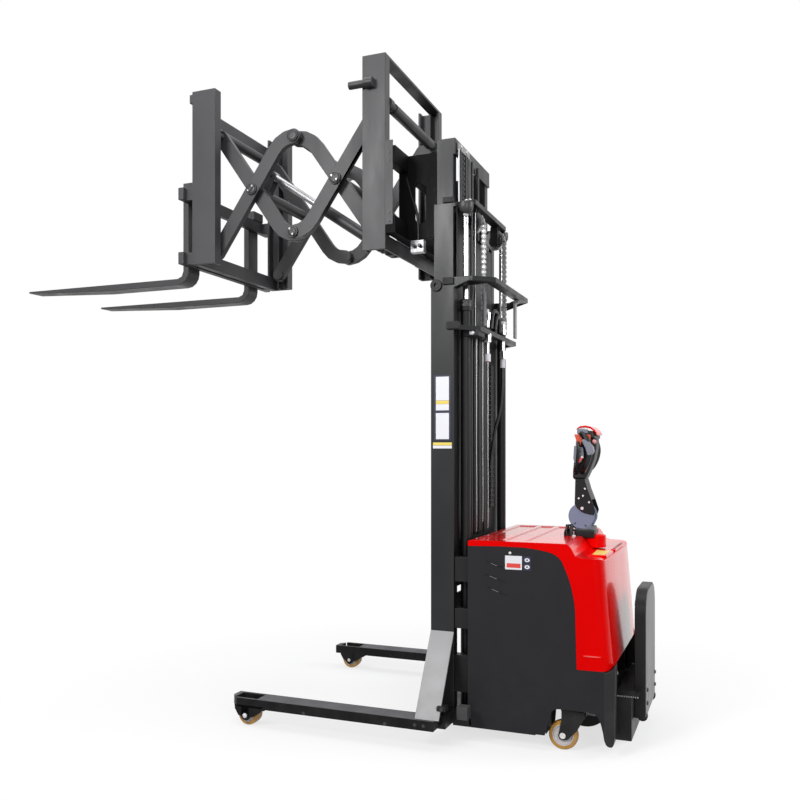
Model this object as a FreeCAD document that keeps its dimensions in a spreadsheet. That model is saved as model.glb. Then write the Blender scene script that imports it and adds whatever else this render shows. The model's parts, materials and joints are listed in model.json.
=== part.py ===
import FreeCAD, Part
import os
import re
import Sketcher

# Electric pallet stacker with straddle legs, a three-stage mast, a scissor reach
# and a fold-up platform.  Millimetres.  +X points along the forks, +Y to the
# operator's left, +Z up; the floor is z = 0.

doc = FreeCAD.newDocument("pallet_stacker")
sheet = doc.addObject("Spreadsheet::Sheet", "Sizes")

SIZES = [
    # straddle legs and their wheels
    ("leg_half_width", 618), ("leg_width", 100), ("leg_height", 46), ("leg_low", 86),
    ("leg_front", 915), ("leg_rear", -105), ("load_x", 828), ("load_radius", 51), ("load_hub", 36),
    ("load_width", 58), ("load_axle", 9), ("cheek", 12), ("cheek_radius", 24), ("tip_cut", 42),
    ("wheel_gap", 8), ("side_play", 1.5), ("run_fit", 0.05), ("seat_gap", 0.3),
    # outer mast stage
    ("mast_half", 400), ("mast_top", 2040), ("outer_back", -125), ("outer_deep", 110),
    ("outer_wide", 52), ("outer_wall", 12), ("stage_gap", 6),
    # middle and inner mast stages
    ("mid_back", -104), ("mid_deep", 94), ("mid_wide", 50), ("mid_wall", 10), ("mid_top", 2421),
    ("mid_foot", 530), ("inner_back", -84), ("inner_deep", 80), ("inner_wide", 48), ("inner_wall", 10),
    ("inner_top", 2738), ("inner_foot", 910), ("roller_up", 62), ("tie_thick", 10), ("tie_high", 76),
    # U-shaped bars behind the mast
    ("bar_thick", 18), ("bar_wide", 48), ("mid_bar_back", -188), ("mid_bar_half", 268),
    ("outer_bar_back", -295), ("outer_bar_half", 305), ("outer_bar_rise", 22), ("hose_bar_back", -228),
    ("hose_bar_half", 322), ("hose_bar_drop", 195), ("hose_bar_wide", 32), ("hose_bar_thick", 14),
    # lift cylinders and chain pulleys
    ("ram_x", -152), ("ram_clear", 15), ("ram_radius", 22.5), ("ram_bore", 18), ("ram_rod", 12.5),
    ("ram_gland", 1962), ("gland_radius", 27), ("gland_top", 2014), ("ram_rod_foot", 570),
    ("pulley_x", -152), ("pulley_y", 185), ("pulley_z", 2355), ("pulley_radius", 45),
    ("pulley_width", 22), ("pulley_pin", 9), ("ear_thick", 6), ("ear_wide", 40),
    # base frame
    ("beam_low", 70), ("beam_deep", 110), ("beam_x", -125), ("rail_inner", 270),
    ("rail_low", 60), ("floor_thick", 8), ("wall_thick", 6), ("floor_back", -500), ("deck_z", 186),
    ("deck_thick", 12), ("hatch_gap", 6), ("deck_inset", 15), ("deck_hole", 122), ("brace_thick", 8),
    ("brace_foot_y", 608), ("brace_top_z", 475), ("web_thick", 10), ("tie_low_z", 205),
         ("tie_low_h", 165),
    ("tie_mid_z", 490), ("tie_mid_h", 90), ("tie_top_z", 700), ("tie_top_h", 111), ("tie_inset", 68),
    ("tie_w", 40),
    # body panels
    ("body_front", -196), ("body_half", 420), ("body_back", -865), ("body_low", 72), ("panel_thick", 4),
    ("seam_x", -670), ("seam_z", 858), ("seam_radius", 150), ("seam_gap", 3), ("hood_low", 368),
    ("hood_top", 892), ("hood_step_x", -622), ("hood_step_run", 40), ("hood_rear_top", 832),
    ("hood_wall", 6), ("hood_corner", 110), ("arch_front", -538), ("arch_back", -790), ("arch_top", 186),
    ("column_hole", 62), ("apron_wall", 6), ("apron_low", 92), ("foot_low", 48), ("foot_long", 44),
    ("step_front", -816), ("step_back", -890), ("step_inset", 120), ("step_low", 46), ("step_top", 233),
    ("step_wall", 5), ("battery_front", -212), ("battery_back", -494), ("battery_inset", 35),
    ("battery_top", 700),
    # drive unit and tiller
    ("steer_x", -645), ("drive_radius", 115), ("drive_width", 72), ("drive_hub", 62),
         ("ring_radius", 118),
    ("flange_radius", 138), ("gear_low", 244), ("gear_top", 330), ("gear_radius", 105),
         ("motor_radius", 76),
    ("motor_top", 520), ("column_radius", 34), ("collar_radius", 50), ("column_top", 936),
         ("drive_arm", 30), ("axle_radius", 16),
    ("tilt_x", -628), ("tilt_z", 988), ("disc_radius", 56), ("disc_thick", 9),
    ("tilt_pin", 12), ("arm_half", 32), ("arm_low", 34), ("arm_high", 22), ("neck_z", 1150),
    ("head_front", -589), ("head_back", -710), ("head_top", 1408), ("head_half", 62),
    ("grip_radius", 15), ("grip_half", 118), ("grip_high", 1352), ("grip_low", 1196), ("grip_x", -668),
    ("plate_thick", 12), ("plate_x", 62), ("plate_half", 60),
    # casters
    ("swivel_x", -652), ("swivel_inset", 60), ("trail", 40), ("caster_radius", 63.5), ("caster_hub", 46),
    ("caster_width", 38), ("caster_axle", 8), ("fork_plate", 6), ("swivel_radius", 50),
         ("swivel_thick", 14),
    ("swivel_pin", 14),
    # platform
    ("fold_x", -905), ("fold_z", 128), ("platform_front", -899), ("platform_thick", 40),
    ("platform_half", 200), ("platform_low", 118), ("platform_top", 720), ("platform_corner", 34),
    ("mat_thick", 8), ("mat_edge", 22), ("fold_pin", 9), ("fold_boss", 16),
    # carriage
    ("carriage_half", 232), ("carriage_plate", 12), ("carriage_back", -78), ("carriage_low", 2296),
    ("carriage_high", 2700), ("low_roller_z", 2340), ("high_roller_z", 2640), ("cross_deep", 50),
    ("cross_high", 80), ("roller_deep", 38), ("window_x", 98), ("window_radius", 28),
         ("window_low", 2400),
    ("window_high", 2540),
    # reach frames
    ("frame_half", 400), ("frame_wide", 55), ("frame_wall", 12.7), ("rear_post_back", 209),
    ("rear_post_front", 327), ("rear_post_low", 2224), ("rear_post_top", 3137), ("front_post_back", 1141),
    ("front_post_front", 1278), ("front_post_low", 2233), ("front_post_top", 3116), ("web_wall", 10),
    ("slot_roller", 24), ("guide_bar", 10), ("top_bar", 12), ("top_bar_high", 60), ("low_bar_high", 70),
    ("top_tie_z", 3003), ("top_tie_high", 60), ("peg_radius", 18), ("peg_long", 124), ("peg_z", 3000),
         ("peg_sleeve", 64),
    # scissor arms
    ("rear_pivot_x", 290), ("pivot_z", 2305), ("out_run", 210), ("in_run", 234), ("out_rise", 300),
    ("in_rise", 238), ("arm_thick", 32), ("arm_gap", 5), ("arm_radius", 36), ("arm_outer", 330),
    ("pivot_pin", 20), ("cap_radius", 30), ("cap_thick", 8), ("cross_tube", 28), ("roller_tube", 20),
    ("tube_back", 60), ("tube_up", 22), ("tube_ahead", 42), ("tube_rise", 38), ("end_tube", 27),
    ("bend_radius", 130), ("tube_boss", 30),
    # forks
    ("fork_half", 292), ("fork_wide", 100), ("fork_tip", 2420), ("fork_bar", 32), ("fork_thick", 33),
    ("fork_low", 2150), ("heel_round", 70), ("shank_top", 2676), ("tip_thick", 10), ("hook_deep", 36), ("bar_stand", 32),
    ("bar_half", 430), ("fork_bar_low", 2236), ("fork_bar_top", 2626), ("fork_bar_high", 62),
         ("stop_drop", 58),
    ("stop_high", 44), ("stop_deep", 16),
    ("taper_x", 1900),
    # reach cylinder
    ("jack_y", 200), ("jack_base_x", 265), ("jack_base_z", 2255), ("jack_eye_back", 50),
         ("jack_eye_up", 95),
    ("jack_radius", 29), ("jack_bore", 24), ("jack_rod", 17.5), ("jack_barrel", 482), ("jack_gland", 30),
    ("jack_back", 34), ("jack_pin", 12), ("jack_ear", 12), ("jack_eye", 24), ("jack_eye_wide", 38),
    ("jack_rod_foot", 262), ("jack_floor", 20),
]
NAMES = {}
for row, (alias, value) in enumerate(SIZES, 1):
    sheet.set("A%d" % row, alias)
    sheet.set("B%d" % row, str(value))
    sheet.setAlias("B%d" % row, alias)
    NAMES[alias] = value
doc.recompute()

NODES = []
AXES = {"X": FreeCAD.Rotation(FreeCAD.Vector(0, 1, 0), 90),
        "Y": FreeCAD.Rotation(FreeCAD.Vector(1, 0, 0), -90),
        "Z": FreeCAD.Rotation()}


def formula(text):
    """Names of sizes become references to their cells."""
    return re.sub(r"[a-z][a-z0-9_]*", lambda m: "Sizes." + m.group(0) if m.group(0) in NAMES
                  else m.group(0),
                  str(text))


def tie(obj, **props):
    for prop, text in props.items():
        obj.setExpression(prop.replace("__", "."), formula(text))
    return obj


def place(obj, at, axis="Z"):
    obj.Placement = FreeCAD.Placement(FreeCAD.Vector(), AXES[axis])
    return tie(obj, Placement__Base__x=at[0], Placement__Base__y=at[1], Placement__Base__z=at[2])


def box(name, lo, hi):
    """A block between two corners."""
    obj = doc.addObject("Part::Box", name)
    tie(obj, Length="(%s) - (%s)" % (hi[0], lo[0]), Width="(%s) - (%s)" % (hi[1], lo[1]),
        Height="(%s) - (%s)" % (hi[2], lo[2]))
    return place(obj, lo)


def rod(name, radius, at, length, axis="Z"):
    obj = doc.addObject("Part::Cylinder", name)
    tie(obj, Radius=radius, Height=length)
    return place(obj, at, axis)


def profile(name, plane, points, start, length):
    """A closed outline of points tied to the sizes, pushed along the plane's normal."""
    sketch = doc.addObject("Sketcher::SketchObject", name + "_outline")
    turn = {"XZ": FreeCAD.Rotation(FreeCAD.Vector(1, 0, 0), 90),
            "XY": FreeCAD.Rotation(),
            "YZ": FreeCAD.Rotation(FreeCAD.Vector(1, 1, 1), 120)}[plane]
    sketch.Placement = FreeCAD.Placement(FreeCAD.Vector(), turn)
    count = len(points)
    ring = [FreeCAD.Vector(100 * (i + 1), 37 * i * (count - i), 0) for i in range(count)]
    for i in range(count):
        sketch.addGeometry(Part.LineSegment(ring[i], ring[(i + 1) % count]), False)
    for i in range(count):
        sketch.addConstraint(Sketcher.Constraint("Coincident", i, 2, (i + 1) % count, 1))
    for i, (across, up) in enumerate(points):
        for kind, text, now in (("DistanceX", across, ring[i].x), ("DistanceY", up, ring[i].y)):
            index = sketch.addConstraint(Sketcher.Constraint(kind, -1, 1, i, 1, now))
            sketch.setExpression("Constraints[%d]" % index, formula(text))
    push = doc.addObject("Part::Extrusion", name)
    push.Base = sketch
    push.DirMode = "Custom"
    push.Dir = {"XZ": FreeCAD.Vector(0, 1, 0), "XY": FreeCAD.Vector(0, 0, 1),
                "YZ": FreeCAD.Vector(1, 0, 0)}[plane]
    push.Solid = True
    tie(push, LengthFwd=length)
    along = {"XZ": "y", "XY": "z", "YZ": "x"}[plane]
    sketch.setExpression("Placement.Base." + along, formula(start))
    return push


def fuse(name, parts):
    obj = doc.addObject("Part::MultiFuse", name)
    obj.Shapes = parts
    obj.Refine = True
    return obj


def cut(name, base, tools):
    obj = doc.addObject("Part::Cut", name)
    obj.Base = base
    obj.Tool = tools[0] if len(tools) == 1 else fuse(name + "_tools", tools)
    obj.Refine = True
    return obj


def mirrored(name, source):
    obj = doc.addObject("Part::Mirroring", name)
    obj.Source = source
    obj.Normal = FreeCAD.Vector(0, 1, 0)
    return obj


def group(name, parts):
    """Like pieces that don't touch, kept as one node."""
    obj = doc.addObject("Part::Compound", name)
    obj.Links = parts
    return obj


def pair(name, source):
    return [source, mirrored(name, source)]


def node(name, obj):
    obj.Label = name
    NODES.append((name, obj))
    return obj


def channel(name, outer, wide, back, deep, wall, low, high):
    """An upright channel that opens towards the middle."""
    solid = box(name + "_block", (back, "%s - %s" % (outer, wide), low),
                ("%s + %s" % (back, deep), outer, high))
    hollow = box(name + "_inside",
                 ("%s + %s" % (back, wall), "%s - %s - 1" % (outer, wide), "%s - 1" % low),
                 ("%s + %s - %s" % (back, deep, wall), "%s - %s" % (outer, wall), "%s + 1" % high))
    return cut(name, solid, [hollow])


def u_bar(name, half, front, back, wide, low, thick, outer):
    """A flat bar, bent round behind the mast: two arms and a back, with cut corners."""
    lean = "%s - %s" % (outer, half)
    points = [(front, outer), ("%s + %s" % (back, lean), outer), (back, half),
              (back, "-(%s)" % half), ("%s + %s" % (back, lean), "-(%s)" % outer),
              (front, "-(%s)" % outer),
              (front, "-(%s) + %s" % (outer, wide)),
              ("%s + %s" % (back, lean), "-(%s) + %s" % (outer, wide)),
              ("%s + %s" % (back, wide), "-(%s)" % half), ("%s + %s" % (back, wide), half),
              ("%s + %s" % (back, lean), "%s - %s" % (outer, wide)), (front, "%s - %s" % (outer, wide))]
    return profile(name, "XY", points, low, thick)


def link(name, p, q, radius, near, thick):
    """A flat arm with round ends between two pivots."""
    run, rise = "((%s) - (%s))" % (q[0], p[0]), "((%s) - (%s))" % (q[1], p[1])
    span = "sqrt(%s^2 + %s^2)" % (run, rise)
    side_x, side_z = "%s * %s / %s" % (radius, rise, span), "%s * %s / %s" % (radius, run, span)
    plate = profile(name + "_plate", "XZ",
                    [("%s - %s" % (p[0], side_x), "%s + %s" % (p[1], side_z)),
                     ("%s - %s" % (q[0], side_x), "%s + %s" % (q[1], side_z)),
                     ("%s + %s" % (q[0], side_x), "%s - %s" % (q[1], side_z)),
                     ("%s + %s" % (p[0], side_x), "%s - %s" % (p[1], side_z))], near, thick)
    ends = [rod("%s_end_%d" % (name, i), radius, (c[0], near, c[1]), thick, "Y") for i,
            c in enumerate((p, q))]
    return [plate] + ends


mast_foot = "(leg_low + leg_height)"

# ---- Straddle legs, with a pocket and drooping cheeks for each load wheel
leg = profile("leg_beam", "XZ",
              [("leg_rear", "leg_low"), ("leg_front", "leg_low"), ("leg_front", "leg_low + leg_height"),
               ("leg_rear", "leg_low + leg_height")], "leg_half_width - leg_width", "leg_width")
cheeks = []
for tag, start in (("out", "leg_half_width - cheek"), ("in", "leg_half_width - leg_width")):
    cheeks += link("cheek_" + tag, ("load_x", "load_radius"), ("load_x + 1", "leg_low + 20"),
                   "cheek_radius",
                   start, "cheek")
pocket = box("load_pocket",
             ("load_x - load_radius - wheel_gap", "leg_half_width - leg_width + cheek", "0"),
             ("load_x + load_radius + wheel_gap", "leg_half_width - cheek", "leg_low + leg_height + 1"))
tip = profile("leg_tip_cut", "XY",
              [("leg_front + 1", "leg_half_width + 1"), ("leg_front - tip_cut", "leg_half_width + 1"),
               ("leg_front + 1", "leg_half_width - tip_cut - 1")], "leg_low - 1", "leg_height + 2")
axle_hole = rod("load_axle_hole", "load_axle",
                ("load_x", "leg_half_width - leg_width - 1", "load_radius"),
                "leg_width + 2", "Y")
left_leg = cut("left_leg", fuse("leg_raw", [leg] + cheeks), [pocket, tip, axle_hole])
node("straddle_legs", group("straddle_legs", pair("right_leg", left_leg)))

axle = rod("load_axle_left", "load_axle", ("load_x", "leg_half_width - leg_width - 2", "load_radius"),
           "leg_width + 4", "Y")
node("load_axles", group("load_axles", pair("load_axle_right", axle)))

# ---- Load wheels: hub and tyre on each side
for side, sign in (("left", "1"), ("right", "-1")):
    middle = "%s * (leg_half_width - leg_width / 2)" % sign
    near = "%s - load_width / 2" % middle
    hub = cut("load_hub_raw_" + side,
              rod("load_hub_%s_disc" % side, "load_hub", ("load_x", near, "load_radius"),
                                          "load_width", "Y"),
              [rod("load_hub_%s_bore" % side, "load_axle + run_fit",
                   ("load_x", near + " - 1", "load_radius"),
                   "load_width + 2", "Y")])
    node("load_hub_" + side, hub)
    tyre = cut("load_tyre_raw_" + side, rod("load_tyre_%s_disc" % side, "load_radius",
                                            ("load_x", near, "load_radius"), "load_width", "Y"),
               [rod("load_tyre_%s_bore" % side, "load_hub", ("load_x", near + " - 1", "load_radius"),
                    "load_width + 2", "Y")])
    node("load_tyre_" + side, tyre)

# ---- Base frame: cross beam between the legs, rails, floor, front wall and rear deck
beam = box("cross_beam", ("beam_x", "-(leg_half_width - leg_width)", "beam_low"),
           ("beam_x + beam_deep", "leg_half_width - leg_width", mast_foot))
floor = box("floor_plate", ("floor_back", "-(body_half - panel_thick)", "rail_low"),
            ("body_front", "body_half - panel_thick", "rail_low + floor_thick"))
front_wall = box("front_wall", ("body_front - wall_thick", "-(body_half - panel_thick)", "rail_low"),
                 ("body_front", "body_half - panel_thick", "seam_z - 12"))
rear_wall = box("rear_wall", ("floor_back", "-(body_half - hood_wall - hatch_gap)", "rail_low"),
                ("floor_back + wall_thick", "body_half - hood_wall - hatch_gap",
                 "hood_top - hood_wall - seat_gap"))
deck = box("rear_deck", ("step_front", "-(body_half - deck_inset)", "deck_z"),
           ("floor_back", "(body_half - deck_inset)", "deck_z + deck_thick"))
deck_hole = rod("deck_hole_tool", "deck_hole", ("steer_x", "0", "deck_z - 1"), "deck_thick + 2")
swivel_holes = [rod("swivel_hole_%d" % i, "swivel_pin + run_fit", ("swivel_x", y, "deck_z - 1"),
                    "deck_thick + 2")
                for i, y in enumerate(("(body_half - swivel_inset)", "-(body_half - swivel_inset)"))]
rails, ties = [], []
for i, sign in enumerate(("", "-")):
    lo, hi = ("rail_inner", "body_half - panel_thick") if not sign else ("panel_thick - body_half",
                                                                         "-rail_inner")
    rails.append(box("rail_%d" % i, ("body_front - wall_thick", lo, "rail_low"),
                     ("beam_x", hi, mast_foot)))
    lo, hi = ("body_half - tie_inset", "body_half - tie_inset + tie_w")
    if sign:
        lo, hi = ("-(%s)" % hi, "-(%s)" % lo)
    for tag in ("low", "mid", "top"):
        ties.append(box("tie_%s_%d" % (tag, i), ("body_front", lo, "tie_%s_z" % tag),
                        ("outer_back", hi, "tie_%s_z + tie_%s_h" % (tag, tag))))
base = cut("base_raw", fuse("base_solid", [beam, floor, front_wall, rear_wall, deck] + rails + ties),
           [deck_hole] + swivel_holes)
node("base_frame", base)

# ---- Sloped brace plates from the mast down to the legs, each with a web under it
brace = profile("brace_plate", "YZ",
                [("mast_half", "brace_top_z"), ("brace_foot_y", "leg_low + leg_height"),
                 ("brace_foot_y - brace_thick * 1.2", "leg_low + leg_height"),
                 ("mast_half", "brace_top_z - brace_thick * 2")], "outer_back", "outer_deep")
node("brace_plates", group("brace_plates", pair("brace_right", brace)))
web = profile("brace_web", "YZ",
              [("mast_half", "brace_top_z - brace_thick * 2"),
               ("brace_foot_y - brace_thick * 1.2", "leg_low + leg_height"),
               ("mast_half", "leg_low + leg_height")], "outer_back + outer_deep / 2 - web_thick / 2",
              "web_thick")
node("brace_webs", group("brace_webs", pair("brace_web_right", web)))

# ---- Outer mast: two channels, the bent bar at their tops and the foot tie
outer_left = channel("outer_left", "mast_half", "outer_wide", "outer_back", "outer_deep", "outer_wall",
                     mast_foot, "mast_top")
outer_bar = u_bar("outer_bar", "outer_bar_half", "outer_back", "outer_bar_back", "bar_wide",
                  "mast_top + outer_bar_rise - bar_thick - 22", "bar_thick", "mast_half")
node("outer_mast", fuse("outer_mast", pair("outer_right", outer_left) + [outer_bar]))
hose_bar = u_bar("hose_bar_bent", "hose_bar_half", "outer_back", "hose_bar_back", "hose_bar_wide",
                 "mast_top - hose_bar_drop",
                 "hose_bar_thick", "mast_half")
node("hose_bar", hose_bar)

# ---- Lift cylinders behind the outer mast
ram_y = "(body_half - tie_inset - gland_radius - ram_clear)"
barrel = fuse("ram_solid",
              [rod("ram_tube", "ram_radius", ("ram_x", ram_y, mast_foot), "ram_gland - " + mast_foot),
                            rod("ram_cap", "gland_radius", ("ram_x", ram_y, "ram_gland"),
                                "gland_top - ram_gland")])
ram = cut("ram_left", barrel,
          [rod("ram_hollow", "ram_bore", ("ram_x", ram_y, mast_foot + " + 12"), "ram_gland - %s - 12"
               % mast_foot),
           rod("ram_gland_bore", "ram_rod + run_fit", ("ram_x", ram_y, "ram_gland - 1"),
               "gland_top - ram_gland + 2")])
node("lift_barrels", group("lift_barrels", pair("ram_right", ram)))

# ---- Middle mast: channels, guide rollers, the bent bar with the chain pulleys, ties
mid_outer = "mast_half - outer_wide - stage_gap"
mid_left = channel("mid_left", mid_outer, "mid_wide", "mid_back", "mid_deep", "mid_wall", "mid_foot",
                   "mid_top")
mid_roller = rod("mid_roller", "outer_deep / 2 - outer_wall - seat_gap",
                 ("outer_back + outer_deep / 2", mid_outer, "mid_foot + roller_up"),
                 "outer_wide + stage_gap - outer_wall - 2", "Y")
mid_bar = u_bar("mid_bar", "mid_bar_half", "mid_back", "mid_bar_back", "bar_wide", "mid_top - bar_thick",
                "bar_thick", mid_outer)
mid_tie = box("mid_tie", ("mid_back - tie_thick", "-(%s)" % mid_outer, "mid_foot + 30"),
              ("mid_back", mid_outer, "mid_foot + 30 + tie_high"))
ears = []
for i, y in enumerate(("pulley_y", "-pulley_y")):
    for j, offset in enumerate(("pulley_width / 2 + side_play",
                                "-(pulley_width / 2 + side_play + ear_thick)")):
        lo = "%s + %s" % (y, offset)
        ears.append(box("pulley_ear_%d%d" % (i, j),
                        ("pulley_x - ear_wide / 2", lo, "pulley_z - ear_wide / 2"),
                        ("pulley_x + ear_wide / 2", lo + " + ear_thick", "mid_top - bar_thick")))
    ears.append(rod("pulley_pin_%d" % i, "pulley_pin",
                    ("pulley_x", "%s - pulley_width / 2 - side_play - ear_thick" % y, "pulley_z"),
                    "pulley_width + 2 * side_play + 2 * ear_thick", "Y"))
node("mid_mast", fuse("mid_mast", pair("mid_right", fuse("mid_side", [mid_left, mid_roller]))
                      + [mid_bar, mid_tie] + ears))
rod_left = rod("lift_rod_left", "ram_rod", ("ram_x", ram_y, "ram_rod_foot"),
               "mid_top - bar_thick - ram_rod_foot")
node("lift_rods", group("lift_rods", pair("lift_rod_right", rod_left)))
pulleys = []
for i, y in enumerate(("pulley_y", "-pulley_y")):
    wheel = rod("pulley_disc_%d" % i, "pulley_radius",
                ("pulley_x", "%s - pulley_width / 2" % y, "pulley_z"),
                "pulley_width", "Y")
    hole = rod("pulley_hole_%d" % i, "pulley_pin + run_fit",
               ("pulley_x", "%s - pulley_width" % y, "pulley_z"),
               "2 * pulley_width", "Y")
    pulleys.append(cut("pulley_%d" % i, wheel, [hole]))
node("chain_pulleys", group("chain_pulleys", pulleys))

# ---- Inner mast: channels, guide rollers and three ties behind
inner_outer = "mast_half - outer_wide - mid_wide - 2 * stage_gap"
inner_left = channel("inner_left", inner_outer, "inner_wide", "inner_back", "inner_deep", "inner_wall",
                     "inner_foot", "inner_top")
inner_roller = rod("inner_roller", "mid_deep / 2 - mid_wall - seat_gap",
                   ("mid_back + mid_deep / 2", inner_outer, "inner_foot + roller_up"),
                   "mid_wide + stage_gap - mid_wall - 2", "Y")
inner_ties = [box("inner_tie_%d" % i, ("inner_back - tie_thick", "-(%s)" % inner_outer, z),
                  ("inner_back", inner_outer, z + " + tie_high"))
              for i, z in enumerate(("inner_top - tie_high", "inner_foot + 700", "inner_foot + 30"))]
node("inner_mast", fuse("inner_mast", pair("inner_right", fuse("inner_side", [inner_left, inner_roller]))
                        + inner_ties))

# ---- Carriage: side plates with rollers in the inner mast, and two cross bars
side_block = box("carriage_side_block",
                 ("carriage_back", "carriage_half - carriage_plate", "carriage_low"),
                 ("rear_post_back", "carriage_half", "carriage_high"))
plate_y = "carriage_half - carriage_plate - 1"
windows = [box("side_window", ("window_x - window_radius", plate_y, "window_low"),
               ("window_x + window_radius", "carriage_half + 1", "window_high"))]
windows += [rod("side_window_end_%d" % i, "window_radius", ("window_x", plate_y, z), "carriage_plate + 2",
                "Y")
            for i, z in enumerate(("window_low", "window_high"))]
side_plate = cut("carriage_side", side_block, windows)
rollers = [rod("carriage_roller_%d" % i, "inner_deep / 2 - inner_wall - seat_gap",
               ("inner_back + inner_deep / 2", "carriage_half", z), "roller_deep", "Y")
           for i, z in enumerate(("low_roller_z", "high_roller_z"))]
crosses = [box("carriage_cross_%d" % i, ("rear_post_back - cross_deep", "-frame_half", z),
               ("rear_post_back", "frame_half", z + " + cross_high"))
           for i, z in enumerate(("carriage_low", "carriage_high - cross_high"))]
node("carriage",
     fuse("carriage", pair("carriage_other", fuse("carriage_left", [side_plate] + rollers)) + crosses))

# ---- Rear reach frame: two channel posts with roller guides, top and bottom bars, pivot pins
lever_y = "arm_outer - arm_thick - arm_gap - arm_thick"
roller_back = "rear_pivot_x - slot_roller - seat_gap"


def reach_post(name, back, front, low, high, guide_lo, guide_hi, pivot_x, pin_start):
    post = channel(name + "_channel", "frame_half", "frame_wide", back, "(%s - %s)" % (front, back),
                   "frame_wall", low, high)
    guide = box(name + "_guide", (guide_lo, "frame_half - frame_wide", low),
                (guide_hi, "frame_half", high))
    pin = rod(name + "_pin", "pivot_pin", (pivot_x, pin_start, "pivot_z"), "frame_half - (%s)"
              % pin_start, "Y")
    cap = rod(name + "_cap", "cap_radius", (pivot_x, "%s - cap_thick" % pin_start, "pivot_z"),
              "cap_thick", "Y")
    return fuse(name, [post, guide, pin, cap])


rear_post = reach_post("rear_post", "rear_post_back", "rear_post_front", "rear_post_low", "rear_post_top",
                       roller_back + " - guide_bar", roller_back, "rear_pivot_x", lever_y
                       + " - side_play")
peg_y = "frame_half + peg_radius - 3"
pegs = [rod("rear_peg", "peg_radius", ("rear_post_front - peg_sleeve", peg_y, "peg_z"), "peg_long", "X"),
        rod("rear_peg_sleeve", "peg_radius + 6",
            ("rear_post_front - peg_sleeve", peg_y + " + 3", "peg_z"),
            "peg_sleeve / 2 + 10", "X")]
rear_bars = [box("rear_top_bar",
                 ("rear_post_back", "-(frame_half - web_wall)", "rear_post_top - top_bar"),
                 ("rear_post_back + top_bar_high", "frame_half - web_wall", "rear_post_top")),
             box("rear_low_bar", ("rear_post_back", "-(frame_half - web_wall)", "rear_post_low"),
                 ("rear_post_back + top_bar", "frame_half - web_wall", "rear_post_low + low_bar_high"))]
jack_ears = []
for i, offset in enumerate(("jack_eye_wide / 2 + side_play",
                            "-(jack_eye_wide / 2 + side_play + jack_ear)")):
    lo = "jack_y + %s" % offset
    jack_ears += [box("jack_ear_%d" % i, ("rear_post_back + 1", lo, "jack_base_z - jack_eye"),
                      ("jack_base_x", lo + " + jack_ear", "jack_base_z + jack_eye")),
                  rod("jack_ear_end_%d" % i, "jack_eye", ("jack_base_x", lo, "jack_base_z"), "jack_ear",
                      "Y")]
jack_pin = rod("jack_base_pin", "jack_pin",
               ("jack_base_x", "jack_y - jack_eye_wide / 2 - side_play - jack_ear",
                                             "jack_base_z"),
               "jack_eye_wide + 2 * side_play + 2 * jack_ear", "Y")
node("rear_reach_frame",
     fuse("rear_reach_frame", pair("rear_post_other", rear_post) + pegs + rear_bars + jack_ears
                              + [jack_pin]))

# ---- Scissor arms.  Pivots, seen from the side
mid_x = "(rear_pivot_x + out_run + in_run)"
rear_foot, rear_cross = ("rear_pivot_x", "pivot_z"), ("(rear_pivot_x + out_run)", "(pivot_z + out_rise)")
rear_head = ("rear_pivot_x", "(pivot_z + 2 * out_rise)")
top_joint, low_joint = (mid_x, "(pivot_z + out_rise + in_rise)"), (mid_x,
                                                                   "(pivot_z + out_rise - in_rise)")
front_cross = ("(rear_pivot_x + out_run + 2 * in_run)", "(pivot_z + out_rise)")
front_foot = ("(rear_pivot_x + 2 * out_run + 2 * in_run)", "pivot_z")
front_head = (front_foot[0], "(pivot_z + 2 * out_rise)")
outer_y, inner_y = "(arm_outer - arm_thick)", "(%s)" % lever_y
rear_tube_at = ("(rear_pivot_x - tube_back)", "(pivot_z + 2 * out_rise + tube_up)")
front_tube_at = ("(%s + tube_ahead)" % front_foot[0], "(pivot_z + 2 * out_rise + tube_rise)")


def bend(side, rise):
    """Points that bring the straight run of an arm round to a joint; side and rise are + or -."""
    centre = "pivot_z + out_rise %s (in_rise - bend_radius)" % rise
    return [("(%s %s bend_radius * %s)" % (mid_x, side, across), "(%s %s bend_radius * %s)"
             % (centre, rise, up))
            for across, up in (("0.836", "0.548"), ("0.616", "0.788"), ("0.326", "0.946"))]


def arm(name, points, near, tubes, stubs, holes):
    """Both sides of one bent arm, joined by its cross tubes; stubs and holes carry its neighbours."""
    solids = []
    for i, (start, end) in enumerate(zip(points, points[1:])):
        radius = "tube_boss" if points[0] is tubes[0][0] and i == 0 else "arm_radius"
        solids += link("%s_run_%d" % (name, i), start, end, radius, near, "arm_thick")
    for i, (at, radius, start, end) in enumerate(stubs):
        solids.append(rod("%s_stub_%d" % (name, i), radius, (at[0], start, at[1]), "(%s) - (%s)"
                          % (end, start), "Y"))
    side = fuse(name + "_side", solids)
    if holes:
        side = cut(name + "_bored", side,
                   [rod("%s_hole_%d" % (name, i), "pivot_pin + run_fit", (at[0], near + " - 1", at[1]),
                        "arm_thick + 2", "Y") for i, at in enumerate(holes)])
    inside = "(%s - side_play)" % inner_y if near == outer_y else near
    bars = []
    for i, (at, radius) in enumerate(tubes):
        bars.append(rod("%s_tube_%d" % (name, i), radius, (at[0], "-" + inside, at[1]), "2 * " + inside,
                        "Y"))
    return fuse(name, pair(name + "_other", side) + bars)


cap_end = "arm_outer + side_play + cap_thick"
roller_end = "frame_half - web_wall - 3"
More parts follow.
